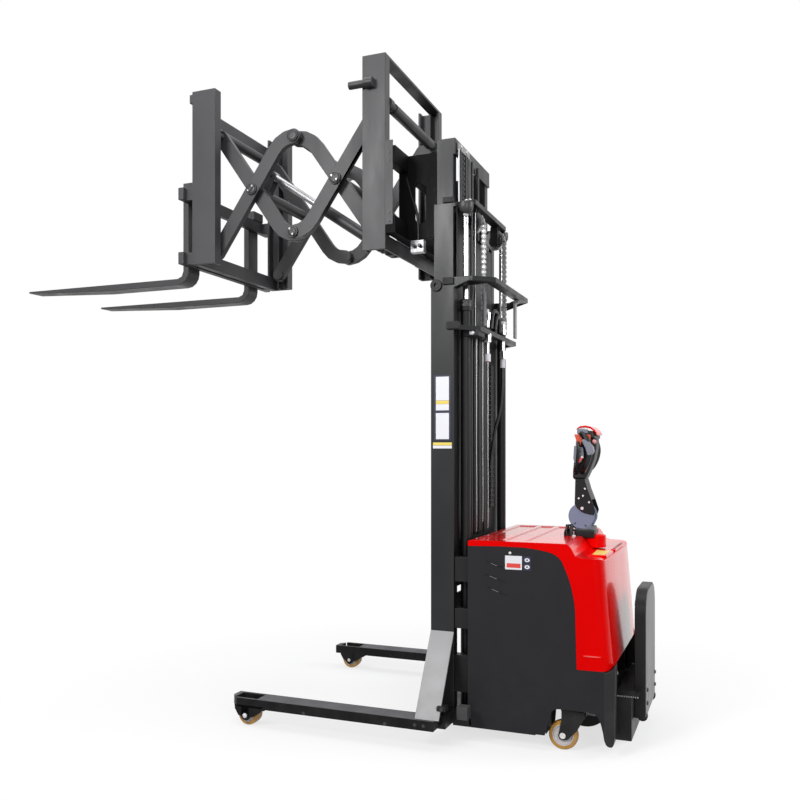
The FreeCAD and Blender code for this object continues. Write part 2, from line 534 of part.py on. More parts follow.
# rear arms: one pair turns on the rear frame's pins, the other crosses it and rolls in the posts
node("rear_lower_arms",
     arm("rear_lower_arms", [rear_foot, rear_cross] + bend("-", "+") + [top_joint], inner_y,
         [(rear_cross, "cross_tube"), (top_joint, "pivot_pin")],
         [(rear_cross, "pivot_pin", inner_y, cap_end),
          (rear_cross, "cap_radius", "arm_outer + side_play", cap_end),
          (top_joint, "pivot_pin", inner_y, cap_end),
          (top_joint, "cap_radius", "arm_outer + side_play", cap_end)],
         [rear_foot]))
node("rear_upper_arms",
     arm("rear_upper_arms", [rear_tube_at, rear_head, rear_cross] + bend("-", "-") + [low_joint], outer_y,
         [(rear_tube_at, "end_tube")],
         [(rear_tube_at, "roller_tube", inner_y + " - 2 * side_play", outer_y + " + arm_thick / 2"),
          (rear_tube_at, "tube_boss", "arm_outer - 1", "arm_outer + side_play + cap_thick"),
          (rear_head, "roller_tube", outer_y, "frame_half - frame_wide + 3"),
          (rear_head, "slot_roller", "frame_half - frame_wide + 2", roller_end)],
         [rear_cross, low_joint]))
# front arms: one pair hangs from the top joint, the other crosses it
jack_eye_at = ("(%s - jack_eye_back)" % front_cross[0], "(%s + jack_eye_up)" % front_cross[1])
eye_ears = []
for i, offset in enumerate(("jack_eye_wide / 2 + side_play",
                            "-(jack_eye_wide / 2 + side_play + jack_ear)")):
    lo = "jack_y + %s" % offset
    eye_ears += link("eye_ear_%d" % i, front_cross, jack_eye_at, "jack_eye", lo, "jack_ear")
    head = lo + " + jack_ear" if i == 0 else lo + " - cap_thick"
    eye_ears.append(rod("eye_pin_head_%d" % i, "jack_pin", (jack_eye_at[0], head, jack_eye_at[1]),
                        "cap_thick", "Y"))
node("front_upper_arms",
     fuse("front_upper_arms",
          [arm("front_upper_pair", [top_joint] + bend("+", "+")[::-1] + [front_cross, front_foot], outer_y,
               [(front_cross, "cross_tube")],
               [(front_cross, "pivot_pin", inner_y + " - 2 * side_play", cap_end),
                (front_cross, "cap_radius", "arm_outer - 1", cap_end)], [top_joint, front_foot])]
          + eye_ears))
node("front_lower_arms",
     arm("front_lower_arms", [front_tube_at, front_head, front_cross] + bend("+", "-") + [low_joint],
         inner_y, [(front_tube_at, "end_tube")],
         [(front_head, "roller_tube", inner_y, "frame_half - frame_wide + 3"),
          (front_head, "slot_roller", "frame_half - frame_wide + 2", roller_end),
          (low_joint, "pivot_pin", inner_y, cap_end),
          (low_joint, "cap_radius", "arm_outer + side_play", cap_end)],
         [front_cross]))

# ---- Fork frame and forks
front_lo = "(rear_pivot_x + 2 * out_run + 2 * in_run) + slot_roller + seat_gap"
front_post = reach_post("front_post", "front_post_back", "front_post_front", "front_post_low",
                        "front_post_top",
                        front_lo, front_lo + " + guide_bar", front_foot[0], outer_y + " - side_play")
front_bars = [box("front_top_bar",
                  ("front_post_front - top_bar", "-(frame_half - web_wall)", "top_tie_z"),
                  ("front_post_front", "frame_half - web_wall", "top_tie_z + top_tie_high")),
              box("front_low_bar", ("front_post_front - 3 * top_bar", "-(frame_half - web_wall)",
                                    "front_post_low"),
                  ("front_post_front", "frame_half - web_wall", "front_post_low + low_bar_high"))]
fork_face = "front_post_front + bar_stand + fork_bar"
for i, z in enumerate(("fork_bar_low", "fork_bar_top - fork_bar_high")):
    front_bars.append(box("fork_bar_%d" % i, (fork_face + " - fork_bar", "-bar_half", z),
                          (fork_face, "bar_half", z + " + fork_bar_high")))
    for j, (lo, hi) in enumerate((("frame_half - frame_wide", "frame_half"),
                                  ("-frame_half", "frame_wide - frame_half"))):
        front_bars.append(box("bar_block_%d%d" % (i, j), ("front_post_front - 1", lo, z),
                              (fork_face + " - fork_bar + 1", hi, z + " + fork_bar_high")))
for j, (lo, hi) in enumerate((("frame_half - 30", "frame_half"), ("-frame_half", "30 - frame_half"))):
    front_bars.append(box("post_stop_%d" % j, ("front_post_front - 1", lo, "front_post_top - stop_drop"),
                          ("front_post_front + stop_deep", hi, "front_post_top - stop_drop + stop_high")))
node("fork_frame", fuse("fork_frame", pair("front_post_other", front_post) + front_bars))
blade = profile("fork_blade", "XZ",
                [(fork_face + " + heel_round * 0.076", "fork_low + heel_round * 0.617"),
                 (fork_face + " + heel_round * 0.293", "fork_low + heel_round * 0.293"),
                 (fork_face + " + heel_round * 0.617", "fork_low + heel_round * 0.076"),
                 (fork_face + " + heel_round", "fork_low"), ("taper_x", "fork_low"),
                 ("fork_tip", "fork_low + fork_thick - tip_thick"),
                 ("fork_tip", "fork_low + fork_thick"),
                 (fork_face + " + heel_round", "fork_low + fork_thick"),
                 (fork_face + " + fork_thick + heel_round * 0.155",
                  "fork_low + fork_thick + heel_round * 0.155"),
                 (fork_face + " + fork_thick", "fork_low + heel_round"),
                 (fork_face + " + fork_thick", "shank_top"), (fork_face + " - hook_deep", "shank_top"),
                 (fork_face + " - hook_deep", "fork_bar_top + seat_gap"),
                 (fork_face, "fork_bar_top + seat_gap"), (fork_face, "fork_low + heel_round")],
                "fork_half - fork_wide / 2", "fork_wide")
node("forks", group("forks", pair("right_fork", blade)))

# ---- Reach cylinder between the rear frame and the front cross tube
jack_run, jack_rise = "(%s - jack_base_x)" % jack_eye_at[0], "(%s - jack_base_z)" % jack_eye_at[1]
jack_tilt = "atan2(%s; %s)" % (jack_rise, jack_run)
jack_span = "sqrt(%s^2 + %s^2)" % (jack_run, jack_rise)


def jack_rod_at(name, radius, offset, length):
    obj = rod(name, radius, ("jack_base_x + (%s) * %s / %s" % (offset, jack_run, jack_span), "jack_y",
                             "jack_base_z + (%s) * %s / %s" % (offset, jack_rise, jack_span)), length)
    obj.Placement = FreeCAD.Placement(FreeCAD.Vector(), FreeCAD.Rotation(FreeCAD.Vector(0, 1, 0), 60))
    obj.setExpression("Placement.Rotation.Angle", formula("90 deg - " + jack_tilt))
    return obj


tube = [jack_rod_at("jack_tube", "jack_radius", "jack_back", "jack_barrel - jack_back"),
        rod("jack_base_eye", "jack_eye", ("jack_base_x", "jack_y - jack_eye_wide / 2", "jack_base_z"),
            "jack_eye_wide", "Y"),
        jack_rod_at("jack_tail", "jack_rod", "0", "jack_back + 2")]
node("reach_barrel", cut("reach_barrel", fuse("jack_barrel_solid", tube),
                         [jack_rod_at("jack_hollow", "jack_bore", "jack_back + jack_floor",
                                      "jack_barrel - jack_back - jack_floor - jack_gland"),
                          jack_rod_at("jack_gland_bore", "jack_rod + run_fit",
                                      "jack_barrel - jack_gland - 1",
                                      "jack_gland + 2"),
                          rod("jack_base_bore", "jack_pin + run_fit",
                              ("jack_base_x", "jack_y - jack_eye_wide", "jack_base_z"),
                              "2 * jack_eye_wide", "Y")]))
eye = rod("jack_rod_eye", "jack_eye", (jack_eye_at[0], "jack_y - jack_eye_wide / 2", jack_eye_at[1]),
          "jack_eye_wide", "Y")
ram_rod = jack_rod_at("jack_ram", "jack_rod", "jack_rod_foot", jack_span + " - jack_rod_foot")
node("reach_rod", cut("reach_rod", fuse("jack_rod_solid", [ram_rod, eye]),
                      [rod("jack_eye_bore", "jack_pin", (jack_eye_at[0], "jack_y - jack_eye_wide",
                                                jack_eye_at[1]), "2 * jack_eye_wide", "Y")]))

# ---- Body panels.  The seam zone is the side view that the black panels cover
def seam_zone(name, grow, start, length):
    zone = box(name + "_block", ("seam_x - %s" % grow, start, "0"),
               ("body_front + 50", "%s + %s" % (start, length),
                                                                  "seam_z + %s" % grow))
    corner = box(name + "_corner", ("seam_x - %s - 1" % grow, start + " - 1", "seam_z - seam_radius"),
                 ("seam_x + seam_radius", "%s + %s + 1" % (start, length), "seam_z + %s + 1" % grow))
    round_ = rod(name + "_round", "seam_radius + %s" % grow,
                 ("seam_x + seam_radius", start + " - 1", "seam_z - seam_radius"), length + " + 2", "Y")
    return cut(name, zone, [cut(name + "_notch", corner, [round_])])


panel_zone = seam_zone("panel_zone", "0", "body_half - panel_thick", "panel_thick")
panel_low = box("panel_skirt", ("arch_back", "body_half - panel_thick", "body_low"),
                ("body_front", "body_half", "hood_low - seam_gap"))
under = box("panel_under", ("body_back - 100", "body_half - panel_thick - 1", "-10"),
            ("body_front + 100", "body_half + 1", "body_low"))
ahead = box("panel_ahead", ("body_front", "body_half - panel_thick - 1", "-10"),
            ("body_front + 100", "body_half + 1", "seam_z + 10"))
arch = box("panel_arch", ("arch_back - 1", "body_half - panel_thick - 1", "body_low - 1"),
           ("arch_front", "body_half + 1", "arch_top"))
panel = cut("panel_left", fuse("panel_raw", [panel_zone, panel_low]), [under, ahead, arch])
node("side_panels", group("side_panels", pair("panel_right", panel)))


def hood_solid(name, inset, low):
    solid = profile(name + "_side", "XZ",
                    [("body_front - %s" % inset, low),
                     ("body_front - %s" % inset, "hood_top - %s" % inset),
                     ("hood_step_x", "hood_top - %s" % inset),
                     ("hood_step_x - hood_step_run", "hood_rear_top - %s" % inset),
                     ("body_back + %s" % inset, "hood_rear_top - %s" % inset),
                     ("body_back + %s" % inset, low)],
                    "-body_half + %s" % inset, "2 * (body_half - %s)" % inset)
    tools = []
    for i, sign in enumerate(("1", "-1")):
        centre = "%s * (body_half - hood_corner)" % sign
        lo, hi = (centre, "body_half + 1") if sign == "1" else ("-body_half - 1", centre)
        corner = box("%s_corner_%d" % (name, i), ("body_back - 1", lo, low + " - 1"),
                     ("body_back + hood_corner", hi, "hood_top + 1"))
        turn = rod("%s_turn_%d" % (name, i), "hood_corner - %s" % inset,
                   ("body_back + hood_corner", centre, low + " - 2"), "hood_top - (%s) + 4" % low)
        tools.append(cut("%s_notch_%d" % (name, i), corner, [turn]))
    return cut(name, solid, tools)


column_hole = rod("hood_column_hole", "column_hole", ("steer_x", "0", "hood_low"),
                  "hood_top - hood_low + 1")
hood_front = box("hood_front_open", ("body_front - hood_wall - 1", "-body_half - 1", "hood_low - 1"),
                 ("body_front + 1", "body_half + 1", "seam_z + seam_gap"))
node("hood", cut("hood", hood_solid("hood_outer", "0", "hood_low"),
                 [hood_solid("hood_inner", "hood_wall", "(hood_low - 10)"), column_hole, hood_front,
                  seam_zone("hood_zone", "seam_gap", "-body_half - 1", "2 * body_half + 2")]))


def apron_solid(name, inset, low, high):
    solid = box(name + "_block", ("body_back + %s" % inset, "-body_half + %s" % inset, low),
                ("arch_back", "body_half - %s" % inset, high))
    tools = []
    for i, sign in enumerate(("1", "-1")):
        centre = "%s * (body_half + body_back - arch_back)" % sign
        lo, hi = (centre, "body_half + 1") if sign == "1" else ("-body_half - 1", centre)
        corner = box("%s_corner_%d" % (name, i), ("body_back - 1", lo, low + " - 1"),
                     ("arch_back", hi, high + " + 1"))
        turn = rod("%s_turn_%d" % (name, i), "arch_back - body_back - %s" % inset,
                   ("arch_back", centre, low + " - 2"), "(%s) - (%s) + 4" % (high, low))
        tools.append(cut("%s_notch_%d" % (name, i), corner, [turn]))
    return cut(name, solid, tools)


step_cut = box("apron_step_cut", ("body_back - 1", "-(body_half - step_inset)", "0"),
               ("arch_back + 1", "(body_half - step_inset)", "step_top"))
apron_feet = [box("apron_foot_%d" % i, ("arch_back - foot_long", lo, "foot_low"),
                  ("arch_back", hi, "apron_low + 60"))
              for i, (lo, hi) in enumerate((("body_half - 60", "body_half"),
                                            ("-body_half", "-body_half + 60")))]
apron = cut("apron_shell", apron_solid("apron_outer", "0", "apron_low", "(hood_low - seam_gap)"),
            [apron_solid("apron_inner", "apron_wall", "(apron_low - 10)", "(hood_low + 10)"), step_cut])
node("rear_apron", fuse("rear_apron", [apron] + apron_feet))
step_outer = box("step_outer", ("step_back", "-(body_half - step_inset)", "step_low"),
                 ("step_front", "(body_half - step_inset)", "step_top"))
step_inner = box("step_inner",
                 ("step_back + step_wall", "step_wall - (body_half - step_inset)", "step_low - 1"),
                 ("step_front + 1", "(body_half - step_inset) - step_wall", "step_top - step_wall"))
fold_bosses = []
for i, (lo, hi) in enumerate((("platform_half - 60", "platform_half - 30"), ("-platform_half + 30",
                                                                           "-platform_half + 60"))):
    fold_bosses += [box("fold_lug_%d" % i, ("fold_x", lo, "fold_z - fold_boss"), ("step_back", hi,
                                                                                 "fold_z + fold_boss")),
                    rod("fold_lug_end_%d" % i, "fold_boss", ("fold_x", lo, "fold_z"), "(%s) - (%s)"
                        % (hi, lo), "Y")]
step = fuse("step_solid", [cut("step_shell", step_outer, [step_inner])] + fold_bosses)
node("step_base",
     cut("step_base", step, [rod("fold_bore", "fold_pin + run_fit", ("fold_x", "-platform_half",
                                                                                 "fold_z"), "2 * platform_half",
                                              "Y")]))
node("battery", box("battery", ("battery_back", "-(body_half - battery_inset)", "rail_low + floor_thick"),
                    ("battery_front", "(body_half - battery_inset)", "battery_top")))

# ---- Drive unit that steers, with its wheel
gear = rod("gear_ring", "ring_radius", ("steer_x", "0", "deck_z - 14"), "gear_low - deck_z + 14")
deck_top = "deck_z + deck_thick + seat_gap"
flange = rod("gear_flange", "flange_radius", ("steer_x", "0", deck_top), "deck_thick")
gear_case = rod("gear_case", "gear_radius", ("steer_x", "0", "gear_low - 1"), "gear_top - gear_low + 1")
motor = rod("drive_motor", "motor_radius", ("steer_x", "0", "gear_top - 1"), "motor_top - gear_top + 1")
collar = rod("steer_collar", "collar_radius", ("steer_x", "0", "hood_top + 4"),
             "column_top - hood_top - 4")
column = rod("steer_column", "column_radius", ("steer_x", "0", "motor_top - 1"),
             "column_top - motor_top + 1")
leg_y = "drive_width / 2 + side_play + 4"
leg_ = box("drive_leg", ("steer_x - 42", leg_y, "drive_radius"),
           ("steer_x + 42", leg_y + " + drive_arm", "deck_z"))
leg_end = rod("drive_leg_end", "42", ("steer_x", leg_y, "drive_radius"), "drive_arm", "Y")
stub = rod("drive_axle", "axle_radius", ("steer_x", "-drive_width / 2 - 4", "drive_radius"),
           leg_y + " + drive_width / 2 + 6", "Y")
wheel_space = rod("drive_wheel_space", "drive_radius + wheel_gap", ("steer_x", "-drive_width / 2 - 5",
                                                                   "drive_radius"), "drive_width + 9",
                  "Y")
node("drive_unit",
     fuse("drive_unit", [cut("gear_raw", fuse("gear_solid", [gear, flange]), [wheel_space]), gear_case,
                                       motor, column, collar, leg_, leg_end, stub]))
wheel_at = ("steer_x", "-drive_width / 2", "drive_radius")
bore_at = ("steer_x", "-drive_width / 2 - 1", "drive_radius")
node("drive_hub", cut("drive_hub_raw", rod("drive_hub_disc", "drive_hub", wheel_at, "drive_width", "Y"),
                      [rod("drive_hub_bore", "axle_radius + run_fit", bore_at, "drive_width + 2", "Y")]))
node("drive_tyre",
     cut("drive_tyre_raw", rod("drive_tyre_disc", "drive_radius", wheel_at, "drive_width", "Y"),
                       [rod("drive_tyre_bore", "drive_hub", bore_at, "drive_width + 2", "Y")]))

# ---- Tiller: a yoke on the column, the arm and the head
yoke_plate = box("yoke_plate", ("steer_x - plate_x", "-plate_half", "column_top"),
                 ("steer_x + plate_x", "plate_half", "column_top + plate_thick"))
yoke = [yoke_plate]
for i, lo in enumerate(("arm_half + 5", "-arm_half - 5 - disc_thick")):
    yoke += [rod("yoke_disc_%d" % i, "disc_radius", ("tilt_x", lo, "tilt_z"), "disc_thick", "Y"),
             box("yoke_cheek_%d" % i, ("tilt_x - 40", lo, "column_top + plate_thick - 1"),
                 ("tilt_x + 40", lo + " + disc_thick", "tilt_z"))]
yoke_pin = rod("yoke_pin", "tilt_pin", ("tilt_x", "-arm_half - 5 - disc_thick", "tilt_z"),
               "2 * (arm_half + 5 + disc_thick)", "Y")
yoke_lift = cut("yoke_raw", fuse("yoke_solid", yoke),
                [box("yoke_trim", ("tilt_x - 90", "-90", "column_top - 60"),
                     ("tilt_x + 90", "90", "column_top"))])
node("tiller_yoke", fuse("tiller_yoke", [yoke_lift, yoke_pin]))
arm_plate = profile("tiller_taper", "XZ",
                    [("tilt_x - arm_low", "tilt_z"), ("tilt_x + arm_low", "tilt_z"),
                     ("tilt_x - 6 + arm_high", "neck_z"), ("tilt_x - 6 - arm_high", "neck_z")],
                    "-arm_half", "2 * arm_half")
arm_end = rod("tiller_end", "arm_low", ("tilt_x", "-arm_half", "tilt_z"), "2 * arm_half", "Y")
node("tiller_arm", cut("tiller_arm", fuse("tiller_arm_solid", [arm_plate, arm_end]),
                       [rod("tiller_bore", "tilt_pin + run_fit", ("tilt_x", "-arm_half - 1", "tilt_z"),
                            "2 * arm_half + 2", "Y")]))
head = profile("head_block", "XZ",
               [("tilt_x - 6 - arm_high - 6", "neck_z"), ("tilt_x - 6 + arm_high + 6", "neck_z"),
                ("head_front", "neck_z + 70"), ("head_front - 6", "head_top - 60"),
                ("head_front - 44", "head_top"), ("head_back + 24", "head_top"),
                ("head_back", "head_top - 44"),
                ("head_back + 20", "neck_z + 90")], "-head_half", "2 * head_half")
loops = []
for i, sign in enumerate(("", "-")):
    y = sign + "grip_half"
    lo = "head_half - 4" if not sign else "-grip_half"
    loops.append(rod("grip_%d" % i, "grip_radius", ("grip_x", y, "grip_low"), "grip_high - grip_low"))
    for j, z in enumerate(("grip_low + grip_radius", "grip_high - grip_radius")):
        loops.append(rod("grip_bar_%d%d" % (i, j), "grip_radius - 2", ("grip_x", lo, z),
                         "grip_half - head_half + 4", "Y"))
node("tiller_head", fuse("tiller_head", [head] + loops))

# ---- Casters
for side, sign in (("left", "1"), ("right", "-1")):
    y = "%s * (body_half - swivel_inset)" % sign
    x = "(swivel_x + trail)"
    solids = [rod("swivel_disc_" + side, "swivel_radius",
                  ("swivel_x", y, "deck_z - seat_gap - swivel_thick"),
                  "swivel_thick"),
              rod("swivel_stud_" + side, "swivel_pin", ("swivel_x", y, "deck_z - swivel_thick"),
                  "swivel_thick + deck_thick + 2"),
              rod("caster_axle_" + side, "caster_axle",
                  (x, y + " - caster_width / 2 - side_play - fork_plate - 3",
                                                         "caster_radius"),
                  "caster_width + 2 * (side_play + fork_plate + 3)", "Y")]
    for i, lo in enumerate(("caster_width / 2 + side_play",
                            "-(caster_width / 2 + side_play + fork_plate)")):
        solids.append(profile("caster_cheek_%s_%d" % (side, i), "XZ",
                              [("swivel_x - 44", "deck_z - seat_gap - swivel_thick + 1"),
                               ("swivel_x + 30", "deck_z - seat_gap - swivel_thick + 1"),
                               (x + " + 16", "caster_radius + 4"), (x + " + 8", "caster_radius - 14"),
                               (x + " - 8", "caster_radius - 14"), (x + " - 22", "caster_radius + 2"),
                               ("swivel_x - 44", "deck_z - 62")], "%s + %s" % (y, lo), "fork_plate"))
    node("caster_fork_" + side, fuse("caster_fork_raw_" + side, solids))
    at, back = (x, y + " - caster_width / 2", "caster_radius"), (x, y + " - caster_width / 2 - 1",
                                                                 "caster_radius")
    node("caster_hub_" + side,
         cut("caster_hub_raw_" + side,
             rod("caster_hub_disc_" + side, "caster_hub", at, "caster_width", "Y"),
             [rod("caster_hub_bore_" + side, "caster_axle + run_fit", back, "caster_width + 2", "Y")]))
    node("caster_tyre_" + side,
         cut("caster_tyre_raw_" + side,
             rod("caster_tyre_disc_" + side, "caster_radius", at, "caster_width", "Y"),
             [rod("caster_tyre_bore_" + side, "caster_hub", back, "caster_width + 2", "Y")]))

# ---- Platform, folded up behind the step
tray = profile("tray_outline", "YZ",
               [("-platform_half", "platform_low"), ("platform_half", "platform_low"),
                ("platform_half", "platform_top - platform_corner"),
                ("platform_half - platform_corner", "platform_top"),
                ("-platform_half + platform_corner", "platform_top"),
                ("-platform_half", "platform_top - platform_corner")],
               "platform_front - platform_thick", "platform_thick - mat_thick")
slots = [box("tray_slot_%d" % i, ("platform_front - platform_thick - 1", lo, "fold_z - fold_boss - 8"),
             ("platform_front + 1", hi, "fold_z + fold_boss + 8"))
         for i, (lo, hi) in enumerate((("platform_half - 66", "platform_half - 24"),
                                       ("-platform_half + 24", "-platform_half + 66")))]
hinge_pin = [rod("fold_pin_%d" % i, "fold_pin", ("fold_x", lo, "fold_z"), "54", "Y")
             for i, lo in enumerate(("platform_half - 72", "-platform_half + 18"))]
node("platform", fuse("platform", [cut("tray_slotted", tray, slots)] + hinge_pin))
node("platform_mat", box("platform_mat", ("platform_front - mat_thick", "-platform_half + mat_edge",
                                         "fold_z + fold_boss + 30"),
                         ("platform_front", "platform_half - mat_edge", "platform_top - mat_edge - 10")))

doc.recompute()
faults = [obj.Name for obj in doc.Objects if {"Invalid", "Error"} & set(obj.State)]
if faults:
    raise RuntimeError("objects in error: " + ", ".join(faults))
os.makedirs("parts", exist_ok=True)
for name, obj in NODES:
    shape = obj.Shape
    if shape.isNull() or not shape.isValid() or not shape.Solids:
        raise RuntimeError("no valid solid: " + name)
    shape.exportStep("parts/%s.step" % name)
    bounds = shape.BoundBox
    print("%-18s solids %d  x %7.1f %7.1f  y %7.1f %7.1f  z %7.1f %7.1f  volume %.5f" % (
        name, len(shape.Solids), bounds.XMin, bounds.XMax, bounds.YMin, bounds.YMax, bounds.ZMin,
                                                                                         bounds.ZMax,
        shape.Volume / 1e9))
print(len(NODES), "nodes")
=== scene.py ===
# %% [markdown]
# # Electric pallet stacker with a scissor reach
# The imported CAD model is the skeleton: every joint, pivot and overall size comes
# from it.  This lesson dresses that skeleton.  Steel parts are softened copies of
# the CAD solids, covers and controls are modelled afresh, and small hardware such
# as chains, hoses, bolts and fittings is added on top.  Blender works in metres:
# +X points along the forks, +Y to the operator's left, +Z up, the floor at z = 0.

# %% Load the frame
import bpy
import json
import math
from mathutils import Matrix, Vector


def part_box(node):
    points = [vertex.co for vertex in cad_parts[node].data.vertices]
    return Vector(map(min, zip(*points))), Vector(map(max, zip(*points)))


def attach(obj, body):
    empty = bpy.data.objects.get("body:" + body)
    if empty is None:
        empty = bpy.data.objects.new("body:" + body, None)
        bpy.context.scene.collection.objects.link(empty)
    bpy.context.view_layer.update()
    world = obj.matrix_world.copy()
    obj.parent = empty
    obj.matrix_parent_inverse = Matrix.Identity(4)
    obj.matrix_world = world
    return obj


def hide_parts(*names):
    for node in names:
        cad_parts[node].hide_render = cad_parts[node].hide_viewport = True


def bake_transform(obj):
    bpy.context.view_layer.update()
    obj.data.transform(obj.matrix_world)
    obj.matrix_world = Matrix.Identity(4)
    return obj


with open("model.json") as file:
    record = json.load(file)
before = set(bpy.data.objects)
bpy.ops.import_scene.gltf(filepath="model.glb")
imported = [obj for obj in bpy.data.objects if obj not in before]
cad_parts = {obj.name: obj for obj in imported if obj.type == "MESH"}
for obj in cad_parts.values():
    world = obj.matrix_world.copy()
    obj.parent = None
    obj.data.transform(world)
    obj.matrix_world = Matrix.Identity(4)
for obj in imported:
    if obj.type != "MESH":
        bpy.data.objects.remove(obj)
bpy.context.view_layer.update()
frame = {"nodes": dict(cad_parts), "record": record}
NODES = frame["nodes"]
BODY_OF = {node: body for body, nodes in frame["record"]["behaviour"]["bodies"].items() for node in nodes}
SLOT_OF = {part["node"]: part["material_slot"] for part in frame["record"]["subparts"]}

# %% [markdown]
# ## Camera
# The camera stands level at chest height, a little behind the side, so verticals
# stay upright.  A small upward shift frames the tall mast without tilting.

# %% Camera
TURN = math.radians(21.9)
camera_data = bpy.data.cameras.new("camera")
for name, value in (("sensor_width", 36), ("lens", 38.79), ("shift_y", 0.06), ("clip_end", 200)):
    setattr(camera_data, name, value)
camera = bpy.data.objects.new("camera", camera_data)
camera.location = (-1.345, 4.083, 1.300)
camera.rotation_euler = (math.radians(90), 0, math.pi + TURN)
scene = bpy.context.scene
scene.collection.objects.link(camera)
scene.camera = camera
scene.view_settings.view_transform = "Standard"
print("lens", camera_data.lens, "shift", camera_data.shift_y)

# %% [markdown]
# ## Shader nodes in a few words
# A material is a small graph.  These helpers add one node and feed its sockets,
# with a number, a colour or another node's output, so that a graph reads as a sum.

# %% Node helpers
def feed(tree, target, feeds):
    """Sets each socket to a value, or links it to another node's output."""
    for socket, value in feeds.items():
        if isinstance(value, bpy.types.NodeSocket):
            tree.links.new(value, target.inputs[socket])
        else:
            target.inputs[socket].default_value = value


def add(tree, kind, feeds=None, **settings):
    """Adds one shader node; settings are its own properties, set before its sockets."""
    made = tree.nodes.new("ShaderNode" + kind)
    for name, value in settings.items():
        setattr(made, name, value)
    feed(tree, made, feeds or {})
    return made


def calc(tree, kind, first, second):
    """The result of one sum on two numbers or outputs."""
    return add(tree, "Math", {0: first, 1: second}, operation=kind).outputs[0]


def ramp(tree, value, low, high, to_low=0.0, to_high=1.0):
    """A value stretched from one range to another and held at its ends."""
    return add(tree, "MapRange", {"Value": value, "From Min": low, "From Max": high,
                                  "To Min": to_low, "To Max": to_high}).outputs[0]


def mixed_color(tree, factor, first, second):
    """A colour that goes from the first to the second as the factor rises."""
    first, second = ((*c, 1) if isinstance(c, tuple) else c for c in (first, second))
    return add(tree, "Mix", {"Factor": factor, "A": first, "B": second}, data_type="RGBA").outputs["Result"]


def sees_background(tree):
    """1 for camera, mirror and glass rays, 0 for light rays."""
    rays = add(tree, "LightPath").outputs
    either = calc(tree, "MAXIMUM", rays["Is Camera Ray"], rays["Is Glossy Ray"])
    return calc(tree, "MAXIMUM", either, rays["Is Transmission Ray"])


# %% [markdown]
# ## Light, floor and background
# A catalogue picture has even light on a white ground.  The world is white to the
# camera and to mirrors, and a softer grey as a light.  Large soft lamps shape the
# machine.  The floor gives light back only weakly, so undersides stay dark, and
# away from the machine it turns fully white, which hides the horizon but keeps the
# contact shadow.

# %% World
world = bpy.data.worlds.new("studio")
scene.world = world
world.use_nodes = True
tree = world.node_tree
feed(tree, tree.nodes["Background"], {"Color": mixed_color(tree, sees_background(tree), (0.40, 0.40, 0.41), (1, 1, 1))})

# %% Floor
FADE_START, FADE_END, GLOW_NEAR = 1.1, 2.3, 0.70
floor_paint = bpy.data.materials.new("floor_paper")
floor_paint.use_nodes = True
tree = floor_paint.node_tree
paper = tree.nodes["Principled BSDF"]
seen = sees_background(tree)
feed(tree, paper, {"Roughness": 1.0, "Specular IOR Level": 0.0,
                   "Base Color": mixed_color(tree, seen, (0.22, 0.22, 0.22), (0.9, 0.9, 0.9))})
away = add(tree, "VectorMath", {0: add(tree, "TexCoord").outputs["Object"]}, operation="LENGTH").outputs["Value"]
share = calc(tree, "MULTIPLY", seen, ramp(tree, away, FADE_START, FADE_END, GLOW_NEAR))
mixed = add(tree, "MixShader", {"Fac": share, 1: paper.outputs[0], 2: add(tree, "Emission").outputs[0]})
feed(tree, tree.nodes["Material Output"], {"Surface": mixed.outputs[0]})
bpy.ops.mesh.primitive_plane_add(size=60, location=(0, 0, -0.0005))
floor = bpy.context.object
floor.name = "studio_floor"
floor.data.materials.append(floor_paint)

# %% Lamps
LAMPS = [("lamp_top", (0.3, 0.4, 6.5), (0.2, 0, 1.2), 4.0, 130),
         ("lamp_key", (1.7, 4.7, 3.7), (0.2, 0.2, 2.2), 1.5, 170),
         ("lamp_side", (-3.6, 5.2, 2.6), (-0.4, 0, 0.8), 2.6, 120),
         ("lamp_back", (-5.0, -1.5, 3.4), (-0.3, 0, 1.2), 2.4, 120)]
for name, place, aim, size, power in LAMPS:
    lamp = bpy.data.lights.new(name, "AREA")
    lamp.shape, lamp.size, lamp.energy = "DISK", size, power
    holder = bpy.data.objects.new(name, lamp)
    holder.location = place
    holder.rotation_euler = (Vector(aim) - Vector(place)).to_track_quat("-Z", "Y").to_euler()
    scene.collection.objects.link(holder)
print("lamps:", len(LAMPS))

# %% [markdown]
# ## Surface effects
# Painted steel, moulded plastic and bare metal all vary a little: a slow change of
# tone, fine grain in the gloss, rare scratches, dust near the floor.  One node
# group holds these effects and every material asks it for its own amounts.  It
# puts out only numbers and colours; the shader stays in each material.

# %% The shared wear group
SCRATCH_GREY, DUST_GREY = (0.22, 0.22, 0.23), (0.16, 0.15, 0.13)


